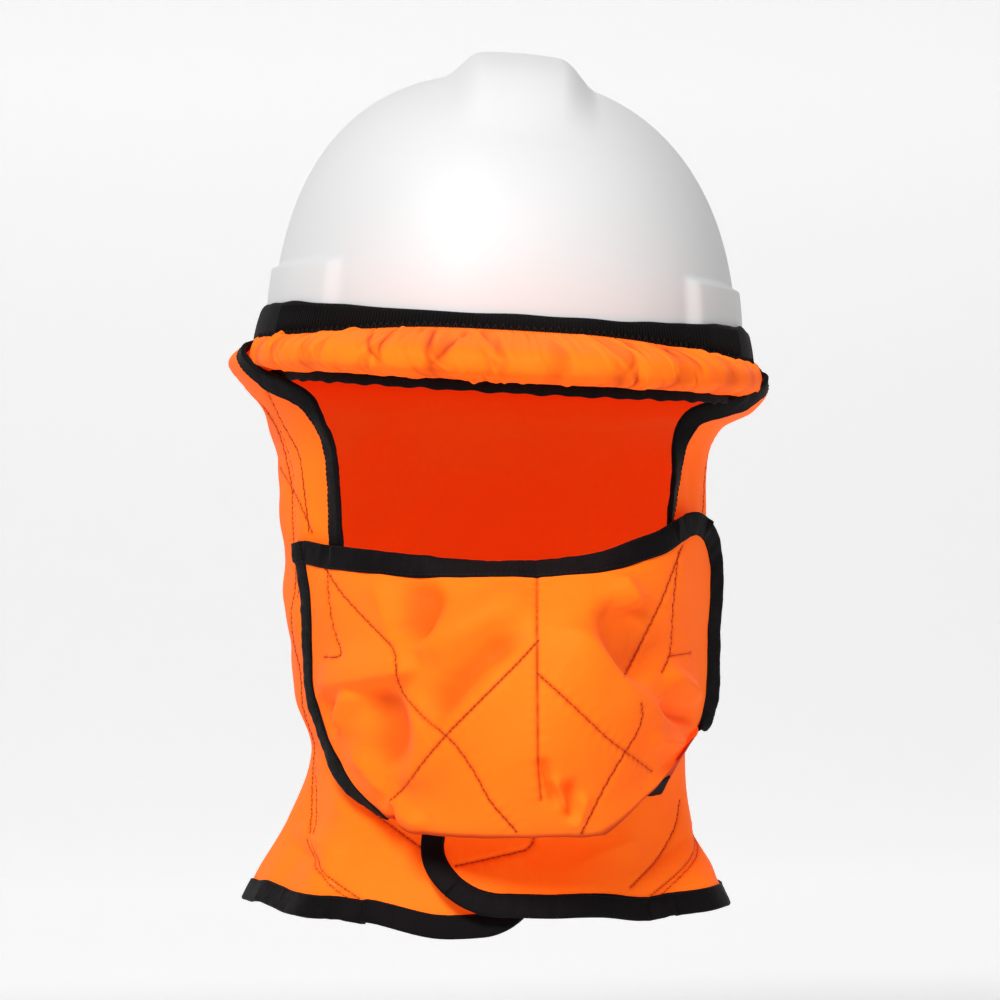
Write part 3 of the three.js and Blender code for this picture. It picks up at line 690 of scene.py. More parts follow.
def coverCorners(angle):
    c = peakCover
    edgeR, edgeZ = brimEdge(angle)
    _, (lowR, lowZ) = crownElasticEdges(angle)
    drop = blend(c["dropSide"], c["dropFront"], peakShare(angle))
    start = (lowR, lowZ - sheet["gap"] - sheet["wall"] / 2)
    lip = blend(c["sideLip"], c["lip"], peakShare(angle))
    over = (edgeR + lip, edgeZ + c["lipTop"])
    between = ((start[0] + over[0]) / 2, (start[1] + over[1]) / 2 + c["puff"])
    nose = (edgeR + lip, edgeZ - hat["wall"])
    below = (edgeR - c["tuck"], edgeZ - drop)
    end = (blend(rimReach(angle), edgeR, c["endShare"]), edgeZ - drop)
    return np.array([start, between, over, nose, below, end])  # corners, r and z, angles


def centripetal(corners, steps):  # a smooth curve through the corners of each section
    knots = np.concatenate([[2 * corners[0] - corners[1]], corners, [2 * corners[-1] - corners[-2]]])
    gaps = np.linalg.norm(np.diff(knots, axis=0), axis=1) ** 0.5
    made = []
    for t in np.linspace(0, len(corners) - 1, steps):
        i = min(int(t), len(corners) - 2)
        u = t - i
        p0, p1, p2, p3 = knots[i : i + 4]
        g0, g1, g2 = gaps[i : i + 3]
        m1 = ((p1 - p0) / g0 - (p2 - p0) / (g0 + g1) + (p2 - p1) / g1) * g1
        m2 = ((p2 - p1) / g1 - (p3 - p1) / (g1 + g2) + (p3 - p2) / g2) * g1
        start = p1 * (1 + 2 * u) * (1 - u) ** 2 + m1 * u * (1 - u) ** 2
        made.append(start + p2 * u * u * (3 - 2 * u) + m2 * u * u * (u - 1))
    return np.array(made)  # steps, r and z, angles


def gatherRise(angle, t):  # regular gathers, and folds drawn at random that start at one edge of the cloth
    g = gather
    draw = np.random.default_rng(g["seed"])
    wave = angle * g["count"] + g["wander"] * np.sin(angle * g["wanders"]) + g["slant"] * t
    rise = g["size"] * np.sin(np.pi * t) * np.sin(wave)
    for _ in range(g["folds"]):
        at = np.radians(draw.uniform(-peakCover["rightEnd"], peakCover["leftEnd"]))
        lean = draw.normal(g["lean"], g["leanSpread"])
        width = draw.uniform(g["narrow"], g["broad"])
        height = draw.uniform(g["low"], g["high"]) * draw.choice([-1, 1])
        top = draw.random() < g["fromTop"]
        far = draw.uniform(g["shortest"], g["longest"])
        off = angle - at - lean * (t - g["leanAt"])
        near = far * g["fadeFrom"]
        along = 1 - smooth(t, near, far) if top else smooth(t, 1 - far, 1 - near)
        rise = rise + height * along * bell(off, width)
    return rise


def peakCoverSheet():
    c = peakCover
    angle = np.radians(np.linspace(-c["rightEnd"], c["leftEnd"], c["turns"]))
    curve = centripetal(coverCorners(angle), c["steps"]).transpose(2, 0, 1)
    t = np.linspace(0, 1, c["steps"])[None, :]
    tangent = unit(np.gradient(curve, axis=1))
    free = smooth(t, 0, c["flatUntil"]) * (1 - c["calm"] * smooth(t, c["calmFrom"], 1))
    rise = gatherRise(angle[:, None], t) * free
    r = curve[..., 0] - tangent[..., 1] * rise
    z = curve[..., 1] + tangent[..., 0] * rise
    grid = onHat(polar(angle[:, None], r, z))
    # painted shade: the colour darkens in the hollows between the gathers
    valleyShade = np.clip(-rise / gather["valleyShade"], 0, gather["darkest"])
    return clothSheet("peakCover", grid, gridNormals(grid), orange, valleyShade)


peakCoverSheet()

# elastic in the tucked edge below the peak
peakElastic = dict(
    endAngle=71, wall=1.6, rise=1.2, drop=5, round=0.5, steps=640, wave=0.5, waves=60, swells=17,
    turnFrom=55, turnOut=5.5,
)


def peakElasticBand():
    e = peakElastic
    end = np.radians(e["endAngle"])
    angle = np.linspace(-end, end, e["steps"])
    seatR, seatZ = coverCorners(angle)[-1]
    seatR = seatR + e["turnOut"] * smooth(np.degrees(np.abs(angle)), e["turnFrom"], e["endAngle"])
    wave = e["wave"] * np.sin(angle * e["waves"]) * np.sin(angle * e["swells"])
    near, far = seatR - sheet["gap"], seatR - sheet["gap"] - e["wall"]
    high, low = seatZ + e["rise"] + wave, seatZ - e["drop"] + wave
    shoulder, foot = high - e["round"], low + e["round"]
    r = np.stack([near, near, (near + far) / 2, far, far, (near + far) / 2], -1)
    z = np.stack([shoulder, foot, low, foot, shoulder, high], -1)
    return loft("peakElastic", onHat(polar(angle[:, None], r, z)), elasticBlack)


peakElasticBand()
print("peak cover and elastics made")

# hood: the cape from the elastic to the hem, cut as a back and two front panels
hood = dict(
    planPower=2.1, seamGap=0.02, flutes=7, fluteSize=4, flutePhase=0.6, fluteStart=30, fluteFull=75,
    backColumns=210, sideColumns=150, sideEase=1.3,
)
flap = dict(lift=5.4, fullAngle=13, dip=6, dipAngle=26, rise=4, cornerRows=0.9, cornerShare=0.3)
hoodRows = table(
    "name z half front back roll shift seam left right",
    ("top", -3.6, 112.5, 127.5, 133.5, 3, 0, 102, 73, 77),
    ("over", -6.5, 119, 134, 138.5, 3, -1, 101, 72, 76),
    ("brim", -13, 123, 137, 141, 3, -2, 98, 69, 71),
    ("drop", -23, 116, 129, 138, 2.7, -1, 92, 60, 66),
    ("under", -33, 104, 120, 131, 2, -4, 82, 49, 51.5),
    ("temple", -50, 98.5, 110, 125, 1, -4.5, 72, 48, 48),
    ("cheek", -80, 97, 104, 119, 0, -4.5, 68, 45, 49),
    ("jaw", -120, 95, 103, 113, 0, -4, 73, 47, 49),
    ("chin", -158, 91, 98, 106, 0, -2, 80, 44, 44),
    ("throat", -186, 84.5, 92, 100, 0, -2, 84, -18, -6),
    ("collar", -216, 90, 93, 105, 0, -4, 72, -18, -6),
    ("hem", -243, 106, 103, 120, 0, -6, 37, -18, -6),
)
hoodRow = {row["name"]: i for i, row in enumerate(hoodRows)}
hemRow = hoodRow["hem"]


def hoodPoint(angle, at, side, off=0.0):  # side is 1 on the wearer's left panel, -1 on the right, 0 behind
    angle, at = np.broadcast_arrays(np.asarray(angle, float), np.asarray(at, float))
    oval = [column(hoodRows, name, at) for name in ("half", "front", "back")]
    degrees = np.degrees(angle)
    behind = smooth(np.abs(degrees), hood["fluteStart"], hood["fluteFull"])
    flute = hood["fluteSize"] * behind * np.sin(hood["flutes"] * angle + hood["flutePhase"])
    seam = column(hoodRows, "seam", at) - hood["seamGap"]
    overlap = 1 - smooth(degrees * side, flap["fullAngle"], seam)
    lift = flap["lift"] * overlap * smooth(at, hoodRow["chin"] - 1, hoodRow["chin"]) if side > 0 else 0
    dip = -flap["dip"] * np.cos(2 * (angle + np.radians(flap["dipAngle"])))
    drop = 0 if side == 0 else overlap * (flap["rise"] if side > 0 else dip)
    r = reach(angle, *oval, hood["planPower"]) + flute * smooth(at, hoodRow["chin"], hemRow) + lift + off
    p = polar(angle, r, column(hoodRows, "z", at) + drop * smooth(at, hoodRow["throat"], hemRow))
    p[..., 0] += column(hoodRows, "shift", at)
    return leaned(p, column(hoodRows, "roll", at))


def hoodNormal(angle, at, side):
    step = 0.01
    sideways = hoodPoint(angle + step, at, side) - hoodPoint(angle - step, at, side)
    down = hoodPoint(angle, at + step, side) - hoodPoint(angle, at - step, side)
    return unit(np.cross(down, sideways))


def frontPlan(share, level, side):  # share runs from the seam to the free edge; the flap's corner is round
    share, level = np.broadcast_arrays(share, level)
    down = 1 - (hemRow - level) / flap["cornerRows"]
    across, down = roundCorner(share, down, flap["cornerShare"])
    at = hemRow - flap["cornerRows"] * (1 - down)
    seam = column(hoodRows, "seam", at) - hood["seamGap"]
    free = column(hoodRows, "left" if side > 0 else "right", at)
    return side * np.radians(blend(seam, free, across)), at


def backPlan(share, level):
    seam = np.radians(column(hoodRows, "seam", level) + hood["seamGap"])
    turn = blend(seam, 2 * np.pi - seam, share)
    return np.where(turn > np.pi, turn - 2 * np.pi, turn), np.broadcast_to(level, turn.shape)


levelRuns = [(0, 4, 50), (4, 9, 90), (9, hemRow, 80)]  # from row, to row, levels
hoodLevels = np.unique(np.concatenate([np.linspace(*run) for run in levelRuns]))[:, None]
panels = {}
capeSwell = dict(
    front=0.5, back=1.7, blendAngle=30, size=60, small=0.35, smallSize=0.4, seed=21,
    startRow=2.5, fullRow=4.5, seamDip=0.9, seamWide=2.6, foldReach=22,
)
capeFolds = table(
    "path rise left right",
    ([(286, 822), (312, 838), (350, 858)], 3.2, 9, 13),
    ([(270, 842), (300, 852), (326, 868)], -2.6, 6, 9),
    ([(262, 868), (300, 872), (338, 884)], 2.0, 8, 10),
    ([(318, 740), (330, 790), (350, 826)], 1.8, 10, 14),
    ([(300, 430), (308, 500), (304, 590)], 1.6, 10, 12),
    ([(288, 440), (292, 520), (296, 610)], -1.6, 8, 8),
    ([(296, 590), (302, 630), (316, 672)], 2.2, 8, 10),
    ([(694, 430), (688, 470), (692, 520)], -1.2, 8, 8),
    ([(648, 836), (600, 852), (560, 880)], 1.4, 14, 16),
    ([(700, 830), (672, 846), (640, 880)], -1.2, 9, 9),
    ([(380, 860), (420, 884), (470, 896)], 1.2, 12, 12),
)


def hoodPanel(name, plan, side):
    s = capeSwell
    angle, at = plan
    grid = hoodPoint(angle, at, side)
    normals = hoodNormal(angle, at, side)
    past = np.abs(np.degrees(angle)) - column(hoodRows, "seam", at)
    size = blend(s["front"], s["back"], smooth(past, 0, s["blendAngle"]))
    swell = crumple(grid, s["size"], s["seed"])
    swell = swell + s["small"] * crumple(grid, s["size"] * s["smallSize"], s["seed"] + 1)
    rise = smooth(at, s["startRow"], s["fullRow"]) * size * swell
    apart = np.radians(past) * np.linalg.norm(grid[..., :2], axis=-1)
    rise += foldRise(grid, capeFolds) * (1 - smooth(past, 0, s["foldReach"]))
    rise -= s["seamDip"] * bell(apart, s["seamWide"])
    panels[name] = (grid + normals * rise[..., None], normals)


backShare = np.linspace(0, 1, hood["backColumns"])[None, :]
sideShare = 1 - np.linspace(1, 0, hood["sideColumns"])[None, :] ** hood["sideEase"]
hoodPanel("capeBack", backPlan(backShare, hoodLevels), 0)
hoodPanel("capeLeft", frontPlan(sideShare, hoodLevels, 1), 1)
hoodPanel("capeRight", frontPlan(sideShare, hoodLevels, -1), -1)
print("cape planned")

# mouth cover: from its top edge over the nose to the pouch, and the seam under its fold
mouthRows = table(
    "name y z bow sag leftKnee rightKnee leftAngle leftZ leftOff rightAngle rightZ rightOff",
    ("top", -121, -101, 3, 2.4, 0, 0.2, 60, -77, 5, 58, -96, 4),
    ("bridge", -138, -118, 2.4, 2.4, 0, 0.1, 63, -100, 6, 57, -112, 3.6),
    ("nose", -149, -143, 2.1, 2, 0, 0, 64, -128, 6, 59, -133, 3.6),
    ("mouth", -152, -172, 2, 2, 0, 0, 62, -150, 6, 61, -154, 4),
    ("chin", -145, -197, 2.2, 1.8, 0.1, 0.2, 59, -168, 7, 56, -177, 7),
    ("fold", -135, -210, 2.4, 1.1, 0.42, 0.75, 46, -176, 14, 31, -204, 15),
    ("under", -117, -200, 2.4, 1.4, 0.3, 0.6, 44, -190, 8, 30, -193, 9),
)
mouthCorner = dict(rows=1, share=0.14)
mouthGrid = dict(levels=196, half=118, ease=1.15)


def mouthPoint(across, at):
    across, at = np.broadcast_arrays(np.asarray(across, float), np.asarray(at, float))
    value = {name: column(mouthRows, name, at) for name in mouthRows[0] if name != "name"}
    seats = []
    for side, name in ((1, "left"), (-1, "right")):
        row = rowWhere(hoodRows, "z", value[name + "Z"])
        seats.append(hoodPoint(side * np.radians(value[name + "Angle"]), row, side, value[name + "Off"]))
    onLeft = across > 0
    seat = np.where(onLeft[..., None], *seats)
    knee = np.where(onLeft, value["leftKnee"], value["rightKnee"])
    share = np.abs(across)
    bent = np.clip((share - knee) / (1 - knee), 0, None)
    x = seat[..., 0] * share
    y = blend(value["y"], seat[..., 1], share ** value["bow"])
    return np.stack([x, y, blend(value["z"], seat[..., 2], bent ** value["sag"])], -1)


def mouthPlan(share, level):  # the left one of its upper corners is round
    share, level = np.broadcast_arrays(share, level)
    across, up = roundCorner(share, 1 - level / mouthCorner["rows"], mouthCorner["share"])
    return across, mouthCorner["rows"] * (1 - up)


# folds of the mouth cover as drawn on the photo, and the small ones between them
mouthFolds = table(
    "path rise left right fade",
    ([(400, 796), (447, 736), (484, 697), (524, 655)], 2.4, 16, 26),
    ([(416, 738), (452, 694), (490, 652), (534, 622)], -3.6, 17, 12),
    ([(396, 646), (440, 642), (500, 612), (540, 588)], 3.6, 18, 16),
    ([(434, 576), (426, 606), (416, 650)], -4.8, 14, 20),
    ([(372, 572), (384, 600), (392, 640)], 1.4, 14, 12),
    ([(312, 684), (352, 678), (396, 670), (424, 668)], 5.0, 18, 8, 0.2),
    ([(320, 694), (328, 714), (338, 738)], -4.4, 8, 9),
    ([(356, 684), (348, 706), (335, 736)], 3.4, 8, 6),
    ([(362, 690), (384, 702), (394, 735), (378, 772)], -5.6, 13, 12),
    ([(404, 690), (424, 718), (430, 756), (404, 790)], 2.6, 14, 10),
    ([(350, 744), (372, 772), (392, 800)], 1.6, 7, 9),
    ([(545, 629), (584, 638), (600, 665), (622, 690), (646, 712), (676, 727)], 4.2, 11, 26),
    ([(616, 588), (612, 618), (626, 656), (650, 688)], -4.6, 26, 15),
    ([(618, 574), (627, 592), (640, 610)], 2.2, 9, 6),
    ([(650, 700), (668, 716), (700, 722)], -2.2, 8, 5),
    ([(664, 668), (684, 682), (704, 702)], 2.6, 6, 12),
    ([(640, 735), (664, 742), (688, 744)], 1.8, 8, 8),
    ([(540, 752), (547, 780), (562, 812)], -2.0, 7, 6),
    ([(566, 776), (576, 800), (570, 826)], -2.0, 8, 7),
    ([(552, 772), (560, 796), (568, 812)], 1.6, 5, 5),
    ([(586, 790), (580, 812), (572, 832)], 1.6, 6, 6),
    ([(388, 796), (400, 812), (430, 826)], 2.0, 6, 12),
    ([(397, 800), (394, 816), (392, 828)], -1.6, 5, 5),
)
mouthSwell = dict(
    foldRise=2.4, foldLimit=6.5, foldShade=0.42, foldFrom=4.95, foldTo=5.3, calmFrom=0.86, calm=0.85,
    wide=0.35, wideSize=45, small=0.14, smallSize=16, seed=51, footFrom=4.6, footFull=4.85, footShade=0.85,
)
mouthLevels = np.linspace(0, len(mouthRows) - 1, mouthGrid["levels"])[:, None]
halfShare = np.linspace(0, 1, mouthGrid["half"]) ** mouthGrid["ease"]
mouthShare = np.concatenate([-halfShare[::-1], halfShare[1:]])[None, :]
mouthAcross, mouthAt = mouthPlan(mouthShare, mouthLevels)
mouthBase = mouthPoint(mouthAcross, mouthAt)
mouthNormals = gridNormals(mouthBase)
mouthNormals *= -np.sign(mouthNormals[mouthLevels.size // 3, halfShare.size, 1])
mouthFree = 1 - smooth(mouthAt, mouthSwell["foldFrom"], mouthSwell["foldTo"])
mouthFree *= 1 - mouthSwell["calm"] * smooth(np.abs(mouthAcross), mouthSwell["calmFrom"], 1)
mouthRise = np.tanh(mouthSwell["foldRise"] * foldRise(mouthBase, mouthFolds) / mouthSwell["foldLimit"])
mouthRise *= mouthSwell["foldLimit"] * mouthFree
mouthRise += mouthSwell["wide"] * crumple(mouthBase, mouthSwell["wideSize"], mouthSwell["seed"])
mouthRise += mouthSwell["small"] * crumple(mouthBase, mouthSwell["smallSize"], mouthSwell["seed"] + 1)
# painted shade: darker at the pouch's foot, where the cloth turns under, and in the hollows of the folds
mouthShade = mouthSwell["footShade"] * smooth(mouthAt, mouthSwell["footFrom"], mouthSwell["footFull"])
mouthShade += mouthSwell["foldShade"] * smooth(-mouthRise, 0, mouthSwell["foldLimit"])
panels["mouthCover"] = (mouthBase + mouthNormals * mouthRise[..., None], mouthNormals)
print("mouth cover planned")

# seams: lines drawn on the photo and laid on the cloth that they hit first, and the cape's own side seams
seamPaths = dict(
    mouthRightUpper=[(324, 566), (341, 593), (364, 618), (393, 647), (397, 656), (395, 667), (397, 679),
                     (405, 697), (425, 719), (447, 736), (459, 749), (475, 773), (490, 802), (516, 831)],
    mouthRightLower=[(538, 641), (520, 661), (484, 697), (447, 734), (423, 762), (404, 789), (391, 800)],
    mouthLeftUpper=[(682, 546), (662, 600), (638, 649), (624, 676)],
    mouthLeftMiddle=[(641, 704), (644, 714), (637, 734), (625, 752), (605, 786), (582, 832)],
    mouthLeftLower=[(538, 674), (567, 700), (609, 740), (623, 750), (651, 771)],
    rightPatch=[(327, 566), (330, 607), (334, 630), (344, 658), (324, 657)],
    leftPatch=[(678, 553), (672, 616), (670, 656), (662, 672)],
    leftPatchEnd=[(670, 656), (690, 653)],
    rightFlap=[(352, 788), (372, 812), (424, 850)],
    leftFlapPatch=[(456, 866), (480, 861), (532, 849), (534, 838)],
    leftNeck=[(679, 801), (676, 826), (658, 859), (631, 887)],
    rightCheek=[(281, 468), (298, 498), (312, 532)],
    rightTemple=[(268, 392), (283, 424), (300, 454), (304, 490), (309, 530)],
)
plainSeams = dict(mouthMiddle=[(537, 577), (537, 640), (538, 764), (541, 800)])
# along each seam the colour darkens: partly the seam's own stain, partly painted shade in its groove
seam = dict(
    depth=0.55, wide=1.5, pucker=0.22, puckerPitch=5.2, puckerWide=4.5, wander=2, wanderSize=9, stainAndShade=0.85,
    stainAndShadeWide=0.75, offset=3.3, startRow=0.9, endRow=10.97, steps=260, fewest=6,
)


def sheetTree(grid):
    return BVHTree.FromPolygons(grid.reshape(-1, 3).tolist(), quadsOf(grid).tolist())


sewnLines = {name: [] for name in panels}
joinLines = {name: [] for name in panels}
trees = {name: sheetTree(grid) for name, (grid, normals) in panels.items()}
for label, path in {**seamPaths, **plainSeams}.items():
    runs = []
    for pixel in drawn(path):
        ray = pixelRay(pixel)
        struck = {name: tree.ray_cast(*ray) for name, tree in trees.items()}
        struck = {name: hit for name, hit in struck.items() if hit[0] is not None}
        if struck:
            first = min(struck, key=lambda name: struck[name][3])
            if not runs or runs[-1][0] != first:
                runs.append((first, []))
            runs[-1][1].append(struck[first][0])
    for name, points in runs:
        if len(points) > seam["fewest"]:
            (joinLines if label in plainSeams else sewnLines)[name].append(np.array(points))
seamLevel = np.linspace(seam["startRow"], seam["endRow"], seam["steps"])
for side, front in ((1, "capeLeft"), (-1, "capeRight")):
    for name, way, layer in ((front, -1, side), ("capeBack", 1, 0)):
        middle = np.radians(column(hoodRows, "seam", seamLevel))
        girth = np.linalg.norm(hoodPoint(side * middle, seamLevel, 0)[:, :2], axis=-1)
        line = hoodPoint(side * (middle + way * seam["offset"] / girth), seamLevel, layer)
        sewnLines[name].append(np.array([trees[name].find_nearest(Vector(spot))[0] for spot in line]))


def sewIn(name, shade=0.0):  # the cloth dips and puckers along its seams and darkens there, partly the seam's stain and partly painted shade in its groove; shade painted elsewhere is added
    grid, normals = panels[name]
    lines = sewnLines[name] + joinLines[name]
    spots = np.concatenate(lines)
    along = np.concatenate([lengthsAlong(line, 0) for line in lines])
    tree = KDTree(len(spots))
    for i, spot in enumerate(spots):
        tree.insert(spot, i)
    tree.balance()
    found = [tree.find(point)[1:] for point in grid.reshape(-1, 3)]
    apart = np.array([far for _, far in found]).reshape(grid.shape[:2])
    run = along[[i for i, _ in found]].reshape(grid.shape[:2])
    wander = seam["wander"] * np.sin(run / seam["wanderSize"])
    ripple = np.sin(run * 2 * np.pi / seam["puckerPitch"] + wander)
    rise = -seam["depth"] * bell(apart, seam["wide"])
    rise += seam["pucker"] * ripple * bell(apart, seam["puckerWide"])
    # painted shade in the seam's groove, with the seam's stain
    stainAndShade = seam["stainAndShade"] * bell(apart, seam["stainAndShadeWide"])
    panels[name] = (grid + normals * rise[..., None], normals)
    clothSheet(name, panels[name][0], normals, orange, stainAndShade + shade)


for name in panels:
    sewIn(name, mouthShade if name == "mouthCover" else 0.0)
print("cloth made")

stitch = dict(pitch=2.3, long=1.8, thick=0.36, sink=0.05)


def sewOn(name, carrier, lines, material):  # stitches on the outer face of a piece
    mesh = pieces[carrier].data
    tree = BVHTree.FromPolygons([v.co / mm for v in mesh.vertices], [p.vertices for p in mesh.polygons])
    laid = []
    proud = stitch["thick"] / 2 - stitch["sink"]
    for line in lines:
        found = [tree.find_nearest(Vector(spot)) for spot in line]
        laid.append(np.array([at + normal * proud for at, normal, _, _ in found]))
    values = {"Pitch": stitch["pitch"] * mm, "Long": stitch["long"] * mm, "Thick": stitch["thick"] * mm,
              "Material": material}
    return grown(name, laid, stitchRow, values)


stitchesOn = dict(
    mouthCover="mouthStitches", capeLeft="leftStitches", capeRight="rightStitches", capeBack="backStitches",
)
for carrier, name in stitchesOn.items():
    sewOn(name, carrier, sewnLines[carrier], redThread)
print("stitches made")

# tape folded over the edges; curl turns it in (or out where negative) along the edge, in degrees
tape = dict(
    out=9.0, lip=1.4, half=1.25, wave=0.3, waveSize=30, crinkle=0.16, crinkleSize=7, fine=0.5, fineSize=3.2,
    seamIn=0.9, inside=5,
)
tapeProfile = [(-1, 0.15), (-1, 0.75), (-0.85, 1), (-0.2, 1), (0.5, 1), (0.85, 0.9), (0.97, 0.5), (1, 0)]
tapeSeeds = dict(
    faceBindingLeft=75, faceBindingRight=76, hemBinding=70, mouthBindingTop=80, mouthBindingSide=82,
    mouthBindingUnder=84,
)
tapeSeams = {}


def borderTape(name, points, normals, inside, curl=0.0, taper=1.0):
    seed = tapeSeeds[name]
    ahead = unit(np.gradient(points, axis=0))
    away = unit(np.cross(ahead, normals))
    away *= np.sign(np.sum(away * (points - inside), -1, keepdims=True))
    turn = np.radians(np.broadcast_to(curl, points.shape[:1]))[:, None]
    over = away * np.cos(turn) - normals * np.sin(turn)
    up = normals * np.cos(turn) + away * np.sin(turn)
    middle, reachOut = (tape["out"] - tape["lip"]) / 2, (tape["out"] + tape["lip"]) / 2
    profile = np.array(tapeProfile + [(a, -b) for a, b in tapeProfile[-2::-1]])
    wave = tape["wave"] * crumple(points, tape["waveSize"], seed)
    out = middle + reachOut * profile[:, 0] + wave[:, None]
    out = np.where(out > 0, out * np.broadcast_to(taper, points.shape[:1])[:, None], out)
    high = tape["half"] * profile[:, 1] * np.ones_like(out)
    sections = points[:, None] + over[:, None] * out[..., None] + up[:, None] * high[..., None]
    rumple = tape["crinkle"] * crumple(sections, tape["crinkleSize"], seed + 1)
    rumple += tape["fine"] * tape["crinkle"] * crumple(sections, tape["fineSize"], seed + 2)
    sections = sections + up[:, None] * (rumple * np.sign(profile[:, 1]))[..., None]
    tapeSeams[name] = points - over * (tape["lip"] - tape["seamIn"]) + up * tape["half"]
    return loft(name, sections, tapeBlack)


def levelIndex(level):
    return int(np.argmin(np.abs(hoodLevels[:, 0] - level)))


def borderOf(name, rows, columns, inRows=None, inColumns=None):  # an edge, its normals, the cloth inside
    grid, normals = panels[name]
    facing = gridNormals(grid)
    facing *= np.sign(np.sum(facing * normals, -1, keepdims=True))
    steady = unit(normals + facing)
    inside = grid[rows if inRows is None else inRows, columns if inColumns is None else inColumns]
    return grid[rows, columns], steady[rows, columns], inside


def joined(*ways):  # borders one after the other
    return [np.concatenate(parts) for parts in zip(*ways)]


everywhere, backwards, inside = slice(None), slice(None, None, -1), tape["inside"]
edgeRuns = dict(faceEnd=8.833, flapStart=9.4, backSkip=2, underStart=14, underEnd=-3)
faceRows = slice(0, levelIndex(edgeRuns["faceEnd"]))
flapRows = slice(levelIndex(edgeRuns["flapStart"]), -1)
faceCurl = dict(  # row and degrees
    capeLeft=[(0.5, 0), (2.4, 10), (3.4, 30), (4.2, 30), (4.8, 5), (5.5, -22), (6.2, -28), (7, -10)],
    capeRight=[(0.5, 0), (2.4, 10), (3.4, 20), (4, 10), (4.5, -12), (5.2, -16), (6, -14), (7, 0)],
)
for carrier, name in (("capeLeft", "faceBindingLeft"), ("capeRight", "faceBindingRight")):
    border = borderOf(carrier, faceRows, -1, inColumns=-inside)
    borderTape(name, *border, curl=np.interp(hoodLevels[faceRows, 0], *zip(*faceCurl[carrier])))

hemWays = []
for carrier in ("capeLeft", "capeRight"):
    end = borderOf(carrier, flapRows, -1, inColumns=-inside)
    foot = borderOf(carrier, -1, backwards, inRows=-inside)
    hemWays.append(joined(end, foot))
backRun = slice(edgeRuns["backSkip"], -edgeRuns["backSkip"])
backFoot = borderOf("capeBack", -1, backRun, inRows=-inside)
borderTape("hemBinding", *joined(hemWays[0], backFoot, [way[::-1] for way in hemWays[1]]))

# tapes of the mouth cover; the side one starts on top of the top one and both narrow towards their ends
topTape = dict(end=4.3, curl=-24.0, curlSoft=12, narrow=0.75, narrowSteps=16)
sideTape = dict(end=5.02, soft=7, look=4, aheadSteps=12, lift=0.8, narrow=0.6, narrowFrom=4.2, narrowTo=5)
topEnd, sideEnd = (int(np.searchsorted(mouthLevels[:, 0], run["end"])) for run in (topTape, sideTape))
topRows, sideRows = slice(1, topEnd), slice(0, sideEnd)
topWay = borderOf("mouthCover", 0, everywhere, inRows=inside)
leftWay = borderOf("mouthCover", topRows, -1, inColumns=-inside)
topCurl = np.concatenate([np.zeros(len(topWay[0])), np.full(len(leftWay[0]), topTape["curl"])])
topCurl = averaged(np.pad(topCurl, topTape["curlSoft"], mode="edge"), topTape["curlSoft"])
topNarrow = smooth(np.arange(topCurl.size), topCurl.size - topTape["narrowSteps"], topCurl.size - 1)
borderTape("mouthBindingTop", *joined(topWay, leftWay), curl=topCurl, taper=1 - topTape["narrow"] * topNarrow)

sideWay = borderOf("mouthCover", sideRows, 0, inColumns=inside)
sideLine = eased(sideWay[0], sideTape["soft"])
aheadLong = np.linspace(tape["out"], 0, sideTape["aheadSteps"], endpoint=False)[:, None]
sideAhead = unit(sideLine[0] - sideLine[sideTape["look"]]) * aheadLong
sideParts = [sideAhead + sideWay[1][0] * tape["half"] * sideTape["lift"], np.zeros_like(sideAhead), sideAhead]
sideWay = [np.concatenate([line[:1] + part, line]) for line, part in zip((sideLine, *sideWay[1:]), sideParts)]
sideNarrow = smooth(mouthLevels[sideRows, 0], sideTape["narrowFrom"], sideTape["narrowTo"])
sideTaper = np.pad(1 - sideTape["narrow"] * sideNarrow, (len(sideAhead), 0), mode="edge")
borderTape("mouthBindingSide", *sideWay, taper=sideTaper)
underRun = slice(edgeRuns["underStart"], edgeRuns["underEnd"])
borderTape("mouthBindingUnder", *borderOf("mouthCover", -1, underRun, inRows=-inside))
for name, line in tapeSeams.items():
    sewOn(name + "Stitches", name, [line], blackThread)
print("tapes made")

# ribs across the front of the crown elastic, and the zigzag thread along its lower edge
rib = dict(pitch=1.5, wide=1.05, endAngle=58, tall=0.82)
zigzag = dict(
    pitch=1.6, radius=0.42, above=1.5, below=2.0, proudAbove=0.3, proudBelow=1.5, endAngle=71,
    jitter=0.35, seed=5,
)


def stepsRound(run):  # angles a pitch apart across the front
    return np.radians(np.arange(-run["endAngle"], run["endAngle"], np.degrees(run["pitch"] / hat["front"])))


def elasticFace(angle, share):
    (topR, topZ), (lowR, lowZ) = crownElasticEdges(angle)
    out = crownElastic["wall"] / 2 + crownElastic["bulge"] * np.sin(np.pi * share)
    return onHat(polar(angle, blend(topR, lowR, share) + out, blend(topZ, lowZ, share)))


ribTop, ribMiddle, ribFoot = (elasticFace(stepsRound(rib), 0.5 + way * rib["tall"] / 2) for way in (-1, 0, 1))
ribTall = np.linalg.norm(ribTop - ribFoot, axis=-1)
ribPoints = {
    "ribUp": ("FLOAT_VECTOR", "vector", unit(ribTop - ribFoot)),
    "ribTall": ("FLOAT", "value", ribTall * mm),
}
grown("elasticRibs", [ribMiddle], ribRow, {"Wide": rib["wide"] * mm, "Material": elasticBlack}, ribPoints)

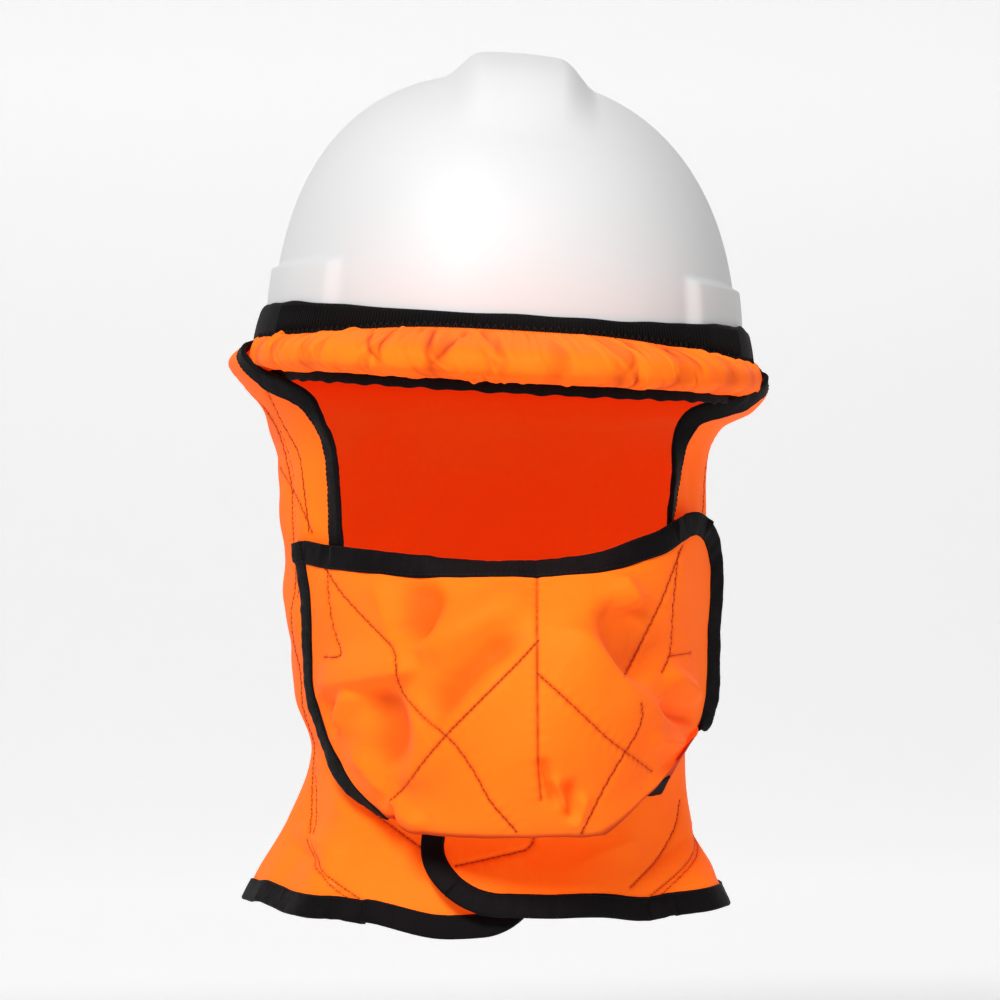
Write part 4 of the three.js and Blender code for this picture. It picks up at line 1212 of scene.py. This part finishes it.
zigAngle = stepsRound(zigzag)
zigJitter = np.random.default_rng(zigzag["seed"]).normal(0, zigzag["jitter"], zigAngle.size)
_, (zigR, zigZ) = crownElasticEdges(zigAngle)
lowTurn = np.arange(zigAngle.size) % 2 == 0
zigPoints = polar(
    zigAngle,
    zigR + crownElastic["wall"] / 2 + np.where(lowTurn, zigzag["proudBelow"], zigzag["proudAbove"]),
    zigZ + np.where(lowTurn, -zigzag["below"], zigzag["above"]) + zigJitter,
)
zigValues = {"Radius": zigzag["radius"] * mm, "Material": blackThread}
grown("crownZigzag", [onHat(zigPoints)], threadRun, zigValues)
print("elastic ribs and thread made")

# what each piece stands for
standsFor = {
    "hardHat": ("helmet_shell", "shell"),
    "crownElastic": ("crown_elastic", "elastic"),
    "peakCover": ("peak_cover", "cloth"),
    "peakElastic": ("peak_elastic", "elastic"),
    "capeBack": ("cape_back", "cloth"),
    "capeLeft": ("cape_left", "cloth"),
    "capeRight": ("cape_right", "cloth"),
    "faceBindingLeft": ("face_binding_left", "tape"),
    "faceBindingRight": ("face_binding_right", "tape"),
    "hemBinding": ("hem_binding", "tape"),
    "mouthCover": ("mouth_cover", "cloth"),
    "mouthBindingTop": ("mouth_binding_top", "tape"),
    "mouthBindingSide": ("mouth_binding_side", "tape"),
    "mouthBindingUnder": ("mouth_binding_under", "tape"),
}
for name, (node, slot) in standsFor.items():
    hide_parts(node)
for piece in pieces.values():
    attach(piece, "root")

# floor, light and sky
stage = dict(
    floor=-450, wide=4000, back=2600, bend=900, bendSteps=15, glowFrom=0.3, glowFull=1.1, glow=0.5, sky=0.06,
)
floorProfile = [(-stage["wide"], stage["floor"]), (stage["back"] - stage["bend"], stage["floor"])]
for turn in np.linspace(0, np.pi / 2, stage["bendSteps"] + 1)[1:]:
    short, up = stage["bend"] * (1 - np.sin(turn)), stage["bend"] * (1 - np.cos(turn))
    floorProfile.append((stage["back"] - short, stage["floor"] + up))
floorProfile.append((stage["back"], stage["floor"] + stage["wide"]))
floorGrid = np.array([[(x, y, z) for x in (-stage["wide"], stage["wide"])] for y, z in floorProfile], float)
paleFloor, floorTree, floorShader = startMaterial(
    "paleFloor", {"Base Color": (0.9, 0.9, 0.9, 1), "Roughness": 0.9, "Emission Color": (1, 1, 1, 1)}
)
floorPlace = nodeIn(floorTree, "ShaderNodeTexCoord").outputs["Object"]
floorDepth = nodeIn(floorTree, "ShaderNodeSeparateXYZ", {0: floorPlace}).outputs["Y"]
floorGlow = ranged(floorTree, floorDepth, 0, stage["glow"], stage["glowFrom"], stage["glowFull"])
floorTree.links.new(floorGlow, floorShader.inputs["Emission Strength"])
strips = [[2 * i, 2 * i + 1, 2 * i + 3, 2 * i + 2] for i in range(len(floorProfile) - 1)]
floor = addMesh("floor", floorGrid.reshape(-1, 3), strips, paleFloor)

lamps = [
    dict(name="keyLamp", place=(-0.62, -1.55, 1.2), size=0.6, power=31),
    dict(name="fillLamp", place=(1.5, -1.2, 0.2), size=1.4, power=4),
    dict(name="topLamp", place=(0.1, 0.1, 1.9), size=1.6, power=2.5),
]
lampAim = Vector((0, 0, -0.06))
for lamp in lamps:
    light = bpy.data.lights.new(lamp["name"], "AREA")
    light.size = lamp["size"]
    light.energy = lamp["power"]
    holder = bpy.data.objects.new(lamp["name"], light)
    holder.location = lamp["place"]
    holder.rotation_euler = (lampAim - Vector(lamp["place"])).to_track_quat("-Z", "Y").to_euler()
    bpy.context.scene.collection.objects.link(holder)
world = bpy.data.worlds.new("studio")
world.use_nodes = True
sky = world.node_tree.nodes["Background"]
sky.inputs["Color"].default_value = (1, 1, 1, 1)
sky.inputs["Strength"].default_value = stage["sky"]
bpy.context.scene.world = world
bpy.context.scene.view_settings.view_transform = "Standard"

print("scene ready")
